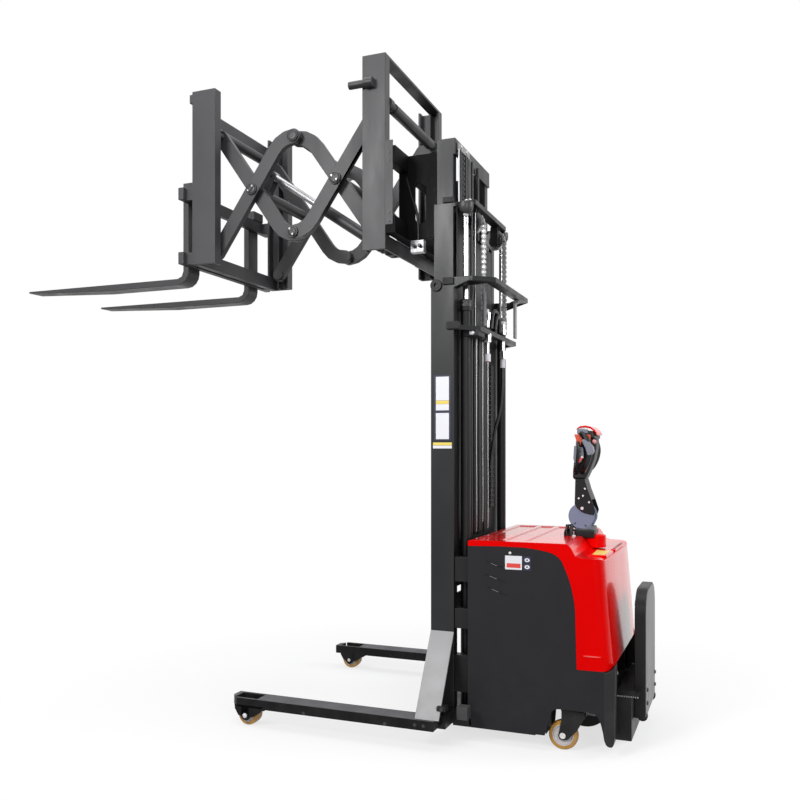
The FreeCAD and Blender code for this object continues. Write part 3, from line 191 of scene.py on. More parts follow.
def build_wear():
    tree = bpy.data.node_groups.new("surface_wear", "ShaderNodeTree")
    inputs = ("Color", "Grain Scale", "Tone Change", "Roughness", "Roughness Change", "Scratches", "Dust")
    for side, sockets in (("INPUT", inputs), ("OUTPUT", ("Color", "Roughness", "Height"))):
        for name in sockets:
            kind = "NodeSocketColor" if name == "Color" else "NodeSocketFloat"
            tree.interface.new_socket(name, in_out=side, socket_type=kind)
    given = tree.nodes.new("NodeGroupInput").outputs
    place = add(tree, "TexCoord").outputs["Object"]

    def noise(scale, detail, stretch=None):
        source = place
        if stretch:
            source = add(tree, "Mapping", {"Vector": place, "Scale": stretch, "Rotation": (0.3, 0.5, 0.2)}).outputs[0]
        return add(tree, "TexNoise", {"Scale": scale, "Detail": detail, "Vector": source}).outputs["Fac"]

    def times(first, *others):
        for other in others:
            first = calc(tree, "MULTIPLY", first, other)
        return first

    broad = ramp(tree, noise(3.1, 5.0), 0.3, 0.7, -1.0)
    smears = ramp(tree, noise(1.0, 6.0, (9, 9, 2.2)), 0.35, 0.7, -1.0)
    grain = noise(given["Grain Scale"], 3.0)
    lines = ramp(tree, noise(1.0, 2.0, (260, 9, 34)), 0.70, 0.735)
    scratches = times(lines, ramp(tree, noise(2.3, 3.0), 0.5, 0.62), given["Scratches"])
    height = add(tree, "SeparateXYZ", {0: place}).outputs["Z"]
    dust = times(ramp(tree, height, 0.0, 0.45, 1.0, 0.12), ramp(tree, noise(13.0, 8.0), 0.42, 0.75), given["Dust"])
    tone = calc(tree, "ADD", times(broad, given["Tone Change"]), 1.0)
    tone = calc(tree, "ADD", tone, times(smears, given["Tone Change"], 0.5))
    shade = add(tree, "VectorMath", {0: given["Color"], "Scale": tone}, operation="SCALE")
    dusty = mixed_color(tree, dust, shade.outputs[0], DUST_GREY)
    change = times(calc(tree, "ADD", smears, times(ramp(tree, grain, 0.3, 0.7, -1.0), 0.6)), given["Roughness Change"])
    rough = calc(tree, "ADD", calc(tree, "ADD", given["Roughness"], change), times(dust, 0.5))
    feed(tree, tree.nodes.new("NodeGroupOutput"), {
        "Color": mixed_color(tree, scratches, dusty, SCRATCH_GREY),
        "Roughness": calc(tree, "MINIMUM", calc(tree, "MAXIMUM", rough, 0.03), 1.0),
        "Height": calc(tree, "SUBTRACT", grain, times(scratches, 0.6))})
    return tree


WEAR = build_wear()
print("wear group nodes:", len(WEAR.nodes))

# %% One recipe for every finish
BUMP_DEPTH = 0.0006
# Painted shade and painted highlight: a face that looks down is painted darker, and a face that looks up is painted
# lighter, a painted highlight with some dust.
PAINTED_UNDERSIDE_SHADE = (-0.12, -0.42, 0.12)      # how steeply a face looks down before it darkens, and its shade
TOP_DUST_AND_HIGHLIGHT = (0.4, 0.8, 18.0)       # the same for a face that looks up


def coat(name, color, roughness=0.4, metallic=0.0, specular=0.5, grain=420.0, bump=0.2, tone=0.12, gloss_change=0.08,
         scratches=0.15, dust=0.25, painted_shade_below=0.0, above=0.0, **sockets):
    """A material: the wear group feeds colour, roughness and bump of one shader."""
    material = bpy.data.materials.new(name)
    material.use_nodes = True
    tree = material.node_tree
    wear = add(tree, "Group", {
        "Color": (*color, 1), "Grain Scale": grain, "Tone Change": tone, "Roughness": roughness,
        "Roughness Change": gloss_change, "Scratches": scratches, "Dust": dust}, node_tree=WEAR).outputs
    tint = wear["Color"]
    # Painted shade on faces that look down, and a painted highlight with dust on faces that look up.
    for amount, (low, high, shade) in ((painted_shade_below, PAINTED_UNDERSIDE_SHADE), (above, TOP_DUST_AND_HIGHLIGHT)):
        if amount:
            facing = add(tree, "SeparateXYZ", {0: add(tree, "TexCoord").outputs["Normal"]}).outputs["Z"]
            goal = tuple(min(1, shade * c) for c in color)
            tint = mixed_color(tree, ramp(tree, facing, low, high, 0, amount), tint, goal)
    relief = add(tree, "Bump", {"Strength": bump, "Distance": BUMP_DEPTH, "Height": wear["Height"]})
    feed(tree, tree.nodes["Principled BSDF"], {
        "Base Color": tint, "Roughness": wear["Roughness"], "Normal": relief.outputs["Normal"], "Metallic": metallic,
        "Specular IOR Level": specular, **{name.replace("_", " "): value for name, value in sockets.items()}})
    return material


# %% [markdown]
# ## The finishes
# Powder coat is a dark satin with a fine orange-peel bump.  The hood is glossy red
# plastic whose clear coat shows only where it is seen at a slant.  Wheels are amber
# polyurethane on pale moulded hubs.  Each finish gets its own grain size: coarse
# for castings, fine for paint.  In a white studio a black coat would mirror the
# walls, so its specular level is low.  Faces of the reach that look down are
# painted darker, a painted shade, and the tops of the legs are painted lighter, a
# painted highlight together with a film of dust.

# %% Painted finishes
black_coat = coat("black_coat", (0.010, 0.010, 0.011), 0.42, specular=0.2, grain=520, bump=0.22, dust=0.12)
mast_coat = coat("mast_coat", (0.012, 0.0125, 0.0135), 0.40, specular=0.28, grain=480, dust=0.10)
# The reach's faces that look down are painted darker: painted shade.
reach_coat = coat("reach_coat", (0.052, 0.052, 0.055), 0.46, specular=0.3, grain=480, tone=0.1, painted_shade_below=0.85)
# The tops of the legs are painted lighter: a painted highlight with a film of dust.
leg_coat = coat("leg_coat", (0.006, 0.006, 0.0065), 0.5, specular=0.12, dust=0.1, above=0.8)
carriage_coat = coat("carriage_coat", (0.005, 0.005, 0.0055), 0.55, specular=0.06, dust=0.05)
pad_coat = coat("pad_coat", (0.055, 0.055, 0.058), 0.55, specular=0.2)
brace_coat = coat("brace_coat", (0.30, 0.30, 0.305), 0.5, tone=0.05, scratches=0.1)
panel_coat = coat("panel_coat", (0.0165, 0.0162, 0.0185), 0.6, specular=0.16, grain=700, tone=0.05, scratches=0.04,
                  dust=0.05)
hood_red = coat("hood_red", (0.74, 0.0, 0.0), 0.3, specular=0.06, grain=90, bump=0.03, tone=0.03, gloss_change=0.03,
                scratches=0.0, dust=0.0, Coat_Roughness=0.1)
tree = hood_red.node_tree
slant = add(tree, "LayerWeight", {"Blend": 0.5}).outputs["Facing"]
feed(tree, tree.nodes["Principled BSDF"], {"Coat Weight": calc(tree, "POWER", slant, 2.0)})
pale_red = coat("pale_red", (0.78, 0.10, 0.09), 0.3, specular=0.2, grain=90, bump=0.03, dust=0.0)
dark_red = coat("dark_red", (0.22, 0.004, 0.004), 0.35, specular=0.3, grain=90, bump=0.05, dust=0.0)
moulded_black = coat("moulded_black", (0.009, 0.009, 0.010), 0.42, specular=0.3, grain=900, bump=0.3, tone=0.08,
                     scratches=0.06, dust=0.12)
yoke_blue = coat("yoke_blue", (0.17, 0.22, 0.33), 0.42, tone=0.1)
print("painted finishes ready")

# %% Metals, rubber and plastics
bright_steel = coat("bright_steel", (0.50, 0.50, 0.51), 0.3, metallic=1.0, grain=300, bump=0.1, dust=0.05)
zinc_steel = coat("zinc_steel", (0.66, 0.66, 0.64), 0.34, metallic=0.9, grain=240, dust=0.02)
rod_steel = coat("rod_steel", (0.30, 0.30, 0.31), 0.42, metallic=0.9, grain=240, bump=0.15, dust=0.03)
dark_steel = coat("dark_steel", (0.045, 0.045, 0.047), 0.42, metallic=0.6, grain=300, bump=0.25, dust=0.1)
chain_grey = coat("chain_grey", (0.36, 0.36, 0.36), 0.42, metallic=0.6, grain=120, bump=0.1)
chrome = coat("chrome", (0.52, 0.52, 0.54), 0.13, metallic=1.0, grain=60, bump=0.01, tone=0.02, gloss_change=0.02,
              scratches=0.02, dust=0.0)
cast_iron = coat("cast_iron", (0.16, 0.165, 0.175), 0.6, metallic=0.35, grain=160, bump=0.6, tone=0.2)
amber_wheel = coat("amber_wheel", (0.50, 0.25, 0.035), 0.34, grain=220, bump=0.15, tone=0.18, dust=0.35,
                   Subsurface_Weight=0.25, Subsurface_Scale=0.01)
pale_hub = coat("pale_hub", (0.60, 0.56, 0.56), 0.42, grain=300, dust=0.4)
black_rubber = coat("black_rubber", (0.010, 0.010, 0.010), 0.62, specular=0.25, grain=350, bump=0.4, dust=0.3)
hose_rubber = coat("hose_rubber", (0.008, 0.008, 0.009), 0.36, specular=0.4, grain=350, bump=0.3, dust=0.02)
mat_grey = coat("mat_grey", (0.20, 0.20, 0.205), 0.5, specular=0.4, grain=260, bump=0.4, dust=0.3)
battery_case = coat("battery_case", (0.02, 0.022, 0.026), 0.55, specular=0.3, grain=300, bump=0.3)
label_white, label_red, label_yellow, label_blue = (
    coat("label_" + name, color, 0.4, grain=900, bump=0.05, tone=tone, dust=0.0) for name, color, tone in (
        ("white", (0.78, 0.78, 0.82), 0.04), ("red", (0.72, 0.06, 0.05), 0.04), ("yellow", (0.80, 0.62, 0.12), 0.06),
        ("blue", (0.012, 0.014, 0.05), 0.04)))
control_orange = coat("control_orange", (0.72, 0.10, 0.04), 0.35, grain=300, bump=0.1, dust=0.0)
control_grey = coat("control_grey", (0.20, 0.22, 0.27), 0.4, grain=500, dust=0.0)
control_pink = coat("control_pink", (0.75, 0.30, 0.30), 0.35, grain=300, bump=0.1, dust=0.0)

# %% Which finish goes where
FINISH_OF_SLOT = {
    "painted_black": black_coat, "painted_dark": mast_coat, "brace_grey": brace_coat, "hood_red": hood_red,
    "apron_black": moulded_black, "steel": bright_steel, "chrome_rod": chrome, "cast_grey": cast_iron,
    "wheel_hub": pale_hub, "poly_tyre": amber_wheel, "drive_tread": black_rubber, "mat_rubber": mat_grey,
    "battery_case": battery_case, "yoke_blue": yoke_blue, "head_plastic": moulded_black}
ARMS = ("rear_lower_arms", "rear_upper_arms", "front_upper_arms", "front_lower_arms")
FINISH_OF_NODE = {node: reach_coat for node in (*ARMS, "rear_reach_frame", "fork_frame", "forks", "reach_barrel")}
FINISH_OF_NODE.update(straddle_legs=leg_coat, carriage=carriage_coat, reach_rod=rod_steel, side_panels=panel_coat,
                      platform_mat=mat_grey)
for node, obj in NODES.items():
    obj.data.materials.clear()
    obj.data.materials.append(FINISH_OF_NODE.get(node, FINISH_OF_SLOT[SLOT_OF[node]]))
print("finishes:", len(bpy.data.materials))


# %% [markdown]
# ## The workshop
# A few helpers stand for what the hands do in Blender: select one piece, select
# some of its faces or edges by place and direction, run edit-mode tools on them,
# apply a modifier.  Sizes in the helpers are given in millimetres, as on a
# drawing, and turned into metres once.

# %% Selecting and editing
SELECT_ALL = (bpy.ops.mesh.select_all, {"action": "SELECT"})


def only(*objects):
    """Selects these objects and nothing else."""
    bpy.ops.object.select_all(action="DESELECT")
    for obj in objects:
        obj.select_set(True)
    bpy.context.view_layer.objects.active = objects[0]


def run_tools(obj, *steps):
    """Runs (tool, settings) steps in edit mode on what is selected."""
    bpy.ops.object.mode_set(mode="EDIT")
    for step, settings in steps:
        step(**settings)
    bpy.ops.object.mode_set(mode="OBJECT")
    return obj


def edit(obj, *steps):
    """Runs edit tools with the whole piece selected."""
    only(obj)
    return run_tools(obj, SELECT_ALL, *steps)


def shape(obj, kind, test, *steps):
    """Runs edit tools on the faces or points that pass a test of place (mm) and direction."""
    only(obj)
    mesh = obj.data
    bpy.context.tool_settings.mesh_select_mode = (kind == "points", False, kind == "faces")
    for group in (mesh.vertices, mesh.edges, mesh.polygons):
        group.foreach_set("select", [False] * len(group))
    if kind == "faces":
        for face in mesh.polygons:
            face.select = bool(test(face.center * 1000, face.normal))
    else:
        for point in mesh.vertices:
            point.select = bool(test(point.co * 1000, point.normal))
    return run_tools(obj, *steps)


def modify(obj, kind, **settings):
    """Adds one modifier and applies it."""
    only(obj)
    modifier = obj.modifiers.new(kind.lower(), kind)
    for name, value in settings.items():
        setattr(modifier, name, value)
    bpy.ops.object.modifier_apply(modifier=modifier.name)
    return obj


def rounded(obj, width, segments=2, angle=32, **settings):
    """Rounds every edge sharper than the angle; width in mm."""
    return modify(obj, "BEVEL", width=width / 1000, segments=segments, limit_method="ANGLE",
                  angle_limit=math.radians(angle), **settings)


def repeated(obj, count, *step):
    """Repeats a piece, each copy one step (mm) further."""
    return modify(obj, "ARRAY", count=count, use_relative_offset=False, use_constant_offset=True,
                  constant_offset_displace=metres(*step))


def smoothed(obj, angle):
    """Shades smooth, apart from edges sharper than the angle."""
    only(obj)
    bpy.ops.object.shade_smooth_by_angle(angle=math.radians(angle))


# %% Starting shapes
MERGE = (bpy.ops.mesh.remove_doubles, {"threshold": 0.00002})
OUTWARD = (bpy.ops.mesh.normals_make_consistent, {"inside": False})


def metres(*place):
    return Vector(place) / 1000


def painted(obj, finish):
    if finish:
        obj.data.materials.clear()
        obj.data.materials.append(finish)
    return obj


def block(name, low, high, width=1.5, finish=None):
    """A squared bar or pad between two corners, its edges broken."""
    low, high = metres(*low), metres(*high)
    bpy.ops.mesh.primitive_cube_add(size=1, location=(low + high) / 2)
    obj = bpy.context.object
    obj.name, obj.scale = name, high - low
    bpy.ops.object.transform_apply(location=True, rotation=True, scale=True)
    return painted(rounded(obj, width), finish)


def drawn(name, points):
    """A line drawn point by point, each new point extruded from the last."""
    bpy.ops.mesh.primitive_plane_add(size=0.01, location=metres(*points[0]))
    obj = bpy.context.object
    obj.name = name
    bpy.ops.object.transform_apply(location=True, rotation=True, scale=True)
    bpy.context.tool_settings.mesh_select_mode = (True, False, False)
    steps = (metres(*end) - metres(*start) for start, end in zip(points, points[1:]))
    draws = [(bpy.ops.mesh.extrude_vertices_move, {"TRANSFORM_OT_translate": {"value": step}}) for step in steps]
    return edit(obj, (bpy.ops.mesh.merge, {"type": "CENTER"}), *draws)


def plate(name, points, push, width=1.2, segments=2, finish=None):
    """A flat outline filled and pushed to its thickness, its edges rounded."""
    pushed = (bpy.ops.mesh.extrude_region_move, {"TRANSFORM_OT_translate": {"value": metres(*push)}})
    obj = edit(drawn(name, points), (bpy.ops.mesh.edge_face_add, {}), pushed, SELECT_ALL, OUTWARD)
    return painted(rounded(obj, width, segments) if width else obj, finish)


def side_plate(name, y, outline, push, width=1.2, segments=2, finish=None):
    """A plate drawn as (x, z) points in the side view at y, and pushed along y."""
    return plate(name, [(x, y, z) for x, z in outline], (0, push, 0), width, segments, finish)


def turned(name, section, at, axis="Y", sides=32, finish=None):
    """A lathe piece: a half section of (radius, height) points spun round an axis through a place."""
    place = {"X": lambda r, h: (h, r, 0), "Y": lambda r, h: (r, h, 0), "Z": lambda r, h: (r, 0, h)}[axis]
    centre = Vector(at)
    obj = drawn(name, [tuple(centre + Vector(place(r, h))) for r, h in section])
    line = [float(letter == axis) for letter in "XYZ"]
    spin = (bpy.ops.mesh.spin, {"steps": sides, "angle": math.tau, "center": centre / 1000, "axis": line})
    return painted(edit(obj, spin, SELECT_ALL, MERGE, OUTWARD), finish)


def even(side):
    """Half a section from rim to middle, completed with its mirror image."""
    return [(r, -h) for r, h in side] + side[::-1]


def pipe(name, points, radius, finish, sides=3):
    """A hose or bent rod: a smooth curve through its route, given a round section and made a mesh."""
    data = bpy.data.curves.new(name, "CURVE")
    for setting, value in (("dimensions", "3D"), ("bevel_depth", radius / 1000), ("bevel_resolution", sides),
                           ("use_fill_caps", True), ("resolution_u", 8)):
        setattr(data, setting, value)
    route = data.splines.new("NURBS")
    route.points.add(len(points) - 1)
    for point, place in zip(route.points, points):
        point.co = (*metres(*place), 1)
    route.order_u = 3
    route.use_endpoint_u = True
    obj = bpy.data.objects.new(name, data)
    scene.collection.objects.link(obj)
    only(obj)
    bpy.ops.object.convert(target="MESH")
    return painted(bpy.context.object, finish)


def oval(name, x, y, z, length, high, push, finish):
    """A flat oval, standing on a side wall."""
    turns = [i * math.tau / 20 for i in range(20)]
    ring = [(x + length / 2 * math.cos(a), z + high / 2 * math.sin(a)) for a in turns]
    return side_plate(name, y, ring, push, 0.6, finish=finish)


# %% Copies and fitting
def mirrored(obj):
    """A copy with its own mesh on the other side of the machine."""
    only(obj)
    bpy.ops.object.duplicate_move(TRANSFORM_OT_translate={"value": (0, 0, 0)})
    twin = bpy.context.object
    twin.scale = (1, -1, 1)
    bpy.ops.object.transform_apply(location=True, rotation=True, scale=True)
    return edit(twin, OUTWARD)


def joined(name, *pieces):
    only(*pieces)
    if len(pieces) > 1:
        bpy.ops.object.join()
    whole = bpy.context.object
    whole.name = name
    return whole


def paired(name, *pieces):
    """Pieces of the left side and their mirror image as one."""
    left_side = joined(name, *pieces)
    return joined(name, left_side, mirrored(left_side))


def fitted(obj, body, finish=None, angle=38):
    """Smooths a finished piece and hangs it on its body."""
    painted(obj, finish)
    smoothed(obj, angle)
    modify(obj, "WEIGHTED_NORMAL", keep_sharp=True, weight=90)
    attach(obj, body)
    print(obj.name, "faces", len(obj.data.polygons))
    return obj


def stands_for(obj, node, finish=None, angle=38):
    """Fits a finished piece in the place of a CAD node."""
    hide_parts(node)
    return fitted(obj, BODY_OF[node], finish, angle)


def stretched(obj, angle):
    """Smooths a piece and bakes its placement into its points; it is hung on no body."""
    smoothed(obj, angle)
    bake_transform(obj)


def bolt(name, at, axis, radius=8, high=6, finish=zinc_steel):
    """A hexagon screw head with a chamfered top and a washer, proud of the surface it clamps."""
    disc = [(0, 0), (radius * 1.35, 0), (radius * 1.35, high * 0.3), (0, high * 0.3)]
    head = [(0, high * 0.25), (radius, high * 0.25), (radius, high * 0.85), (radius * 0.85, high), (0, high)]
    washer = turned(name + "_washer", disc, at, axis, 16)
    return painted(joined(name, turned(name, head, at, axis, 6), washer), finish)


FULL = {node: [[c * 1000 for c in corner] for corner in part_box(node)] for node in NODES}
print("helpers ready; hood box in mm:", [[round(c) for c in corner] for corner in FULL["hood"]])

# %% [markdown]
# ## Softened steel
# A sheared plate or rolled channel never has a knife edge.  Each steel solid of the
# CAD model is copied, its loose triangles are merged and dissolved to clean faces,
# and a small bevel rounds every sharp edge.  The copy then stands for the node.
# The bent bars stand a little above their rails, and the lift barrels end lower,
# so their points are scaled and shifted before the edges are rounded.

# %% Softened steel
def softened(node, width, moved=None):
    obj = bpy.data.objects.new(node + "_steel", NODES[node].data.copy())
    scene.collection.objects.link(obj)
    edit(obj, MERGE, (bpy.ops.mesh.dissolve_limited, {"angle_limit": math.radians(0.6)}))
    if moved:
        (low, back), stretch, about, lift = moved
        shape(obj, "points", lambda place, facing: place.z > low and place.x < back,
              (bpy.ops.transform.resize, {"value": (1, 1, stretch), "center_override": metres(0, 0, about)}),
              (bpy.ops.transform.translate, {"value": metres(0, 0, lift)}))
    rounded(obj, width, use_clamp_overlap=False)
    return stands_for(obj, node, angle=35)


SOFT = {"straddle_legs": 3, "base_frame": 2, "brace_plates": 1.5, "brace_webs": 1.2, "outer_mast": 2.5, "mid_mast": 2,
        "inner_mast": 2, "hose_bar": 2, "carriage": 2, "rear_reach_frame": 2.5, **{arm: 1.8 for arm in ARMS},
        "fork_frame": 2.5, "forks": 2.5, "reach_barrel": 1.5, "lift_barrels": 2}
MOVED = {"outer_mast": ((2021, -127), 1.3, 2031, 30), "mid_mast": ((2402, -116), 1.25, 2412, 23),
         "lift_barrels": ((1900, 0), 1, 0, -36), "hose_bar": ((0, 0), 1.6, 1852, -10)}
for node, width in SOFT.items():
    softened(node, width, MOVED.get(node))

# %% [markdown]
# ## Hood
# The hood is one glossy moulding.  From above it is a box with big round rear
# corners; from the side it is bounded by a long S-shaped seam.  No single
# primitive gives both, so two drawn solids are made, one from each view, and what
# they share is kept.  Its rim is then rounded and its top gets shallow pockets.

# %% The seam between hood and side panels
(back, right, low), (front, left, top) = FULL["hood"]
REAR_INSET, PANEL_THICK = 30, 4
rear = back + REAR_INSET
SEAM = [(front, 865), (-344, 869), (-448, 868), (-490, 864), (-530, 858), (-560, 852), (-584, 843), (-601, 831),
        (-614, 816), (-624, 794), (-640, 755), (-653, 715), (-663, 670), (-668, 640), (-671, 606), (-674, 487),
        (-677, 361)]
TAIL = [(-786, 361), (-806, 364), (-826, 376), (-836, 398), (-841, 424)]
print("seam points", len(SEAM), "from", SEAM[0], "to", SEAM[-1])


# %% Hood solid
def footprint(apex, x1, half):
    """The outline seen from above: straight sides, full corners and a bowed rear."""
    curve = [(62, 0), (44, 4), (30, 11), (20, 22), (13, 40), (8, 70), (5, 120), (3, 180), (1, 260), (0, 340)]
    rear = [(apex + away, half - inward) for away, inward in curve]
    return [(x1, half)] + rear + [(x, -y) for x, y in rear[::-1]] + [(x1, -half)]


def shared(name, plan, plan_low, plan_high, view, width):
    """Pushes a plan up and a side view across, keeps what both have in common and rounds its edges."""
    solid = plate(name, [(x, y, plan_low) for x, y in plan], (0, 0, plan_high - plan_low), 0)
    across = side_plate(name + "_view", left + 5, view, right - left - 10, 0)
    modify(solid, "BOOLEAN", object=across, operation="INTERSECT", solver="EXACT")
    only(across)
    bpy.ops.object.delete()
    edit(solid, MERGE, OUTWARD)
    return rounded(solid, width, 3, 30)


side_view = ([(x - 0.6, z + 0.6) for x, z in SEAM] + [(x - 0.6, z + 1) for x, z in TAIL]
             + [(rear, 454), (rear, 800), (rear + 5, 818), (rear + 20, 829), (rear + 40, 832), (-694, 834),
                (-672, 842), (-661, 862), (-650, 880), (-634, top), (front - 14, top), (front - 4, top - 3),
                (front, top - 12)])
hood = shared("hood_cover", footprint(rear, front, left), low - 20, top + 20, side_view, 5)
shape(hood, "points", lambda place, facing: place.z > 780 and place.x < -730,
      (bpy.ops.transform.translate, {"value": metres(38, 0, 0)}))
print("hood faces", len(hood.data.polygons))

# %% Pockets in the hood top
POCKETS = ((-236, -330), (-350, -420), (-444, -520))
for x in (x for ends in POCKETS for x in ends):
    edit(hood, (bpy.ops.mesh.bisect, {"plane_co": metres(x, 0, 0), "plane_no": (1, 0, 0)}))
for y in (-372, 372):
    edit(hood, (bpy.ops.mesh.bisect, {"plane_co": metres(0, y, 0), "plane_no": (0, 1, 0)}))
shape(hood, "faces", lambda place, facing: (facing.z > 0.95 and place.z > top - 1 and abs(place.y) < 371
                                            and any(far < place.x < near for near, far in POCKETS)),
      (bpy.ops.mesh.inset, {"thickness": 0.006, "depth": -0.0045}))
rounded(hood, 1.6, 2, 38)
print("pockets cut, faces", len(hood.data.polygons))

# %% [markdown]
# A moulded dome hides the steering column's rear bearing, a flat oval is embossed
# low on each side, and the rear shelf carries a blank yellow plate.  The dome is a
# lathe piece, the ovals are drawn plates that stand one millimetre proud.

# %% Hood details
dome_side = [(50, -50), (50, 2), (46, 7), (36, 11), (20, 14), (0, 15)]
dome = turned("hood_dome", dome_side, (-688, 0, top - 3), "Z", 32, hood_red)
emboss = oval("hood_emboss", -742, left - 0.5, 423, 92, 15, 2, hood_red)
# The dish is painted a paler red than the hood: a painted reflection on the emboss.
dish = oval("hood_emboss_dish", -742, left - 0.4, 422.5, 76, 6, 2.6, pale_red)
ridge = block("hood_shelf_ridge", (-788, 120, 826), (-706, 318, 838), 4, hood_red)
rim = block("hood_rear_rim", (-790, -240, 826), (-768, 60, 837), 4, hood_red)
trim = joined("hood_trim", dome, emboss, dish, mirrored(emboss), mirrored(dish), ridge, rim)
stands_for(joined("hood_moulding", painted(hood, hood_red), trim), "hood", angle=32)
mark = plate("shelf_plate", [(-718, 130, 838), (-778, 150, 838), (-776, 300, 838), (-724, 306, 838)], (0, 0, 0.8), 0.3)
fitted(mark, "chassis", label_yellow)
# A dark red strip on the rear rim stands for the shade in the shelf's slot: painted shade.
fitted(block("hood_slot_shade", (-786, -220, 834), (-773, 40, 839), 2), "chassis", dark_red)

# %% [markdown]
# ## Side panels
# A side panel is a flat sheet, laser cut to the seam at its rear and to an arch
# over the caster.  Drawing the outline and pushing it 4 mm is exactly how the real
# one is cut.  Three pressed louvres, a screw and three blank plates sit on it.

# %% Side panels
outline = SEAM + [(-790, 361), (-790, 95), (-779, 140), (-768, 168), (-752, 182), (-730, 186), (-610, 186),
                  (-588, 184), (-573, 174), (-565, 150), (-541, 66), (-214, 63), (-202, 138), (front, 148)]
panel = side_plate("side_panel", left, outline, -PANEL_THICK, 1.0, finish=panel_coat)


def louvre(name, x0, z0, x1, z1):
    """A pressed slot hood: a long lens that swells out of the sheet, and under it a pale grey strip that is a painted
    highlight.
    """
    run, rise = (x1 - x0) / 8, (z1 - z0) / 8
    upper = [(x0 + run * i, z0 + rise * i + h) for i, h in enumerate((0, 4, 6, 7, 7, 6, 5, 3, 0))]
    lower = [(x1 - run * i, z1 - rise * i - h) for i, h in enumerate((0, 2, 3, 3, 3, 3, 2, 1))][1:]
    lens = side_plate(name, left - 1, upper + lower, 2, 0.4)
    swell = (bpy.ops.mesh.inset, {"thickness": 0.002, "depth": 0.003})
    shape(lens, "faces", lambda place, facing: facing.y > 0.95, swell)
    # The pale grey strip under the lens is a painted highlight.
    highlight_strip_side = lower[2:6] + [(x, z + 1.8) for x, z in lower[2:6]][::-1]
    lip = side_plate(name + "_lip", left + 1, highlight_strip_side, 1.6, 0.2, finish=brace_coat)
    return joined(name, painted(lens, panel_coat), lip)


louvres = [louvre("louvre_%d" % i, *ends) for i, ends in enumerate(
    ((-283, 803, -360, 776), (-276, 747, -362, 717), (-288, 690, -368, 660)))]
panel = joined("side_panel_left", panel, *louvres)
stands_for(paired("side_panels_cut", panel), "side_panels", angle=32)


# %% Blank plates on the left panel
def tag(name, y, x0, x1, z0, z1, finish, thick=0.7, width=0.25):
    """A blank rectangular plate on a wall that faces left."""
    return side_plate(name, y, [(x0, z0), (x1, z0), (x1, z1), (x0, z1)], thick, width, finish=finish)


tags = [tag("tag_white", left, -442, -367, 771, 831, label_white),
        tag("tag_band", left + 0.7, -436, -374, 779, 798, label_red, 0.2)]
tags += [tag("tag_dark", left, -481, -449, z, z + 29, label_blue) for z in (770, 801)]
for z in (785, 815):
    tags += [oval("tag_spot", -465, left + 0.7, z, 23, 17, 0.3, label_white),
             oval("tag_core", -465, left + 1.0, z, 9, 7, 0.2, label_blue)]
fitted(joined("panel_tags", *tags, bolt("panel_screw", (-389, left, 843), "Y", 4.5, 3)), "chassis")

# %% [markdown]
# ## Rear apron, step and folding platform
# Below the hood the rear is closed by a glossy black apron with the hood's own
# round corners, ending in two feet.  It is made as the hood was: one solid from
# above, one from the side, and what they share.

# %% Rear apron
skirt_side = [(-788, 359), (-788, 98), (-792, 74), (-799, 57), (-808, 49), (-822, 48), (-830, 56), (-834, 74),
              (-838, 392), (-826, 374), (-806, 362)]
skirt = side_plate("apron_skirt", left, skirt_side, -66, 4, 3)
apron_view = [(-786, 361), (-808, 364), (-828, 374), (-840, 392), (-846, 418), (-848, 450), (back + 18, 438),
              (back + 16, 420), (back + 16, 340), (back + 19, 296), (back + 27, 258), (back + 42, 234), (-790, 232)]
bulge = shared("apron_bulge", footprint(back + 15, -788, left - 2), 200, 500, apron_view, 4)
apron = joined("rear_apron_shell", bulge, skirt, mirrored(skirt))
stands_for(apron, "rear_apron", moulded_black)

# %% Step with its toothed tread
softened("step_base", 2.5)
(sx0, sy0, sz0), (sx1, sy1, sz1) = FULL["step_base"]
tooth = block("tread_tooth", (sx0 + 4, sy1 - 9, sz1 - 1), (sx0 + 9, sy1 - 2, sz1 + 4), 1, brace_coat)
repeated(repeated(tooth, 11, 9.2, 0, 0), 2, 0, -(sy1 - sy0 - 11), 0)
rib = block("tread_rib", (sx0 + 6, sy1 - 26, sz1 - 1), (sx1 - 6, sy1 - 22, sz1 + 3), 1, moulded_black)
fitted(joined("step_tread", tooth, repeated(rib, 38, 0, -14.8, 0)), "chassis")

# %% Folding platform
HINGE_Y, LUG_Y, TOP_DROP = 165, 172, 46
(px0, py0, pz0), (px1, py1, pz1) = FULL["platform"]


def door_outline(x, inset, radius, steps=8):
    """Outline seen from behind, its two upper corners round."""
    half, peak = py1 - inset, pz1 - TOP_DROP - inset
    arc = [(half - radius + radius * math.cos(a), peak - radius + radius * math.sin(a))
           for a in (math.radians(90 * i / steps) for i in range(steps + 1))]
    side = [(half, pz0 + inset)] + arc
    return [(x, y, z) for y, z in side + [(-y, z) for y, z in side[::-1]]]


leaf = plate("platform_leaf", door_outline(px1 + 6, 0, 112), (px0 - 3 - px1, 0, 0), 3, 3, black_coat)
skin = plate("platform_skin", door_outline(px0 + 3, 7, 105), (-3, 0, 0), 0.8, finish=mat_grey)
hinge = [block("platform_hinge", (px0 + 4, y - 12, 150), (px0 - 1, y + 12, 262), 1.5, brace_coat)
         for y in (-HINGE_Y, HINGE_Y)]
heads = [bolt("platform_bolt", (px0 - 1, y, z), "X", 8, -6, dark_steel) for y in (-HINGE_Y, HINGE_Y)
         for z in (180, 238)]
lugs = [turned("platform_lug", [(0, 0), (20, 0), (22, 3), (22, 23), (20, 26), (0, 26)],
               (-922, y - 13, 124), "Y", 24, black_coat) for y in (-LUG_Y, LUG_Y)]
stands_for(joined("platform_folded", leaf, skin, *hinge, *heads, *lugs), "platform")

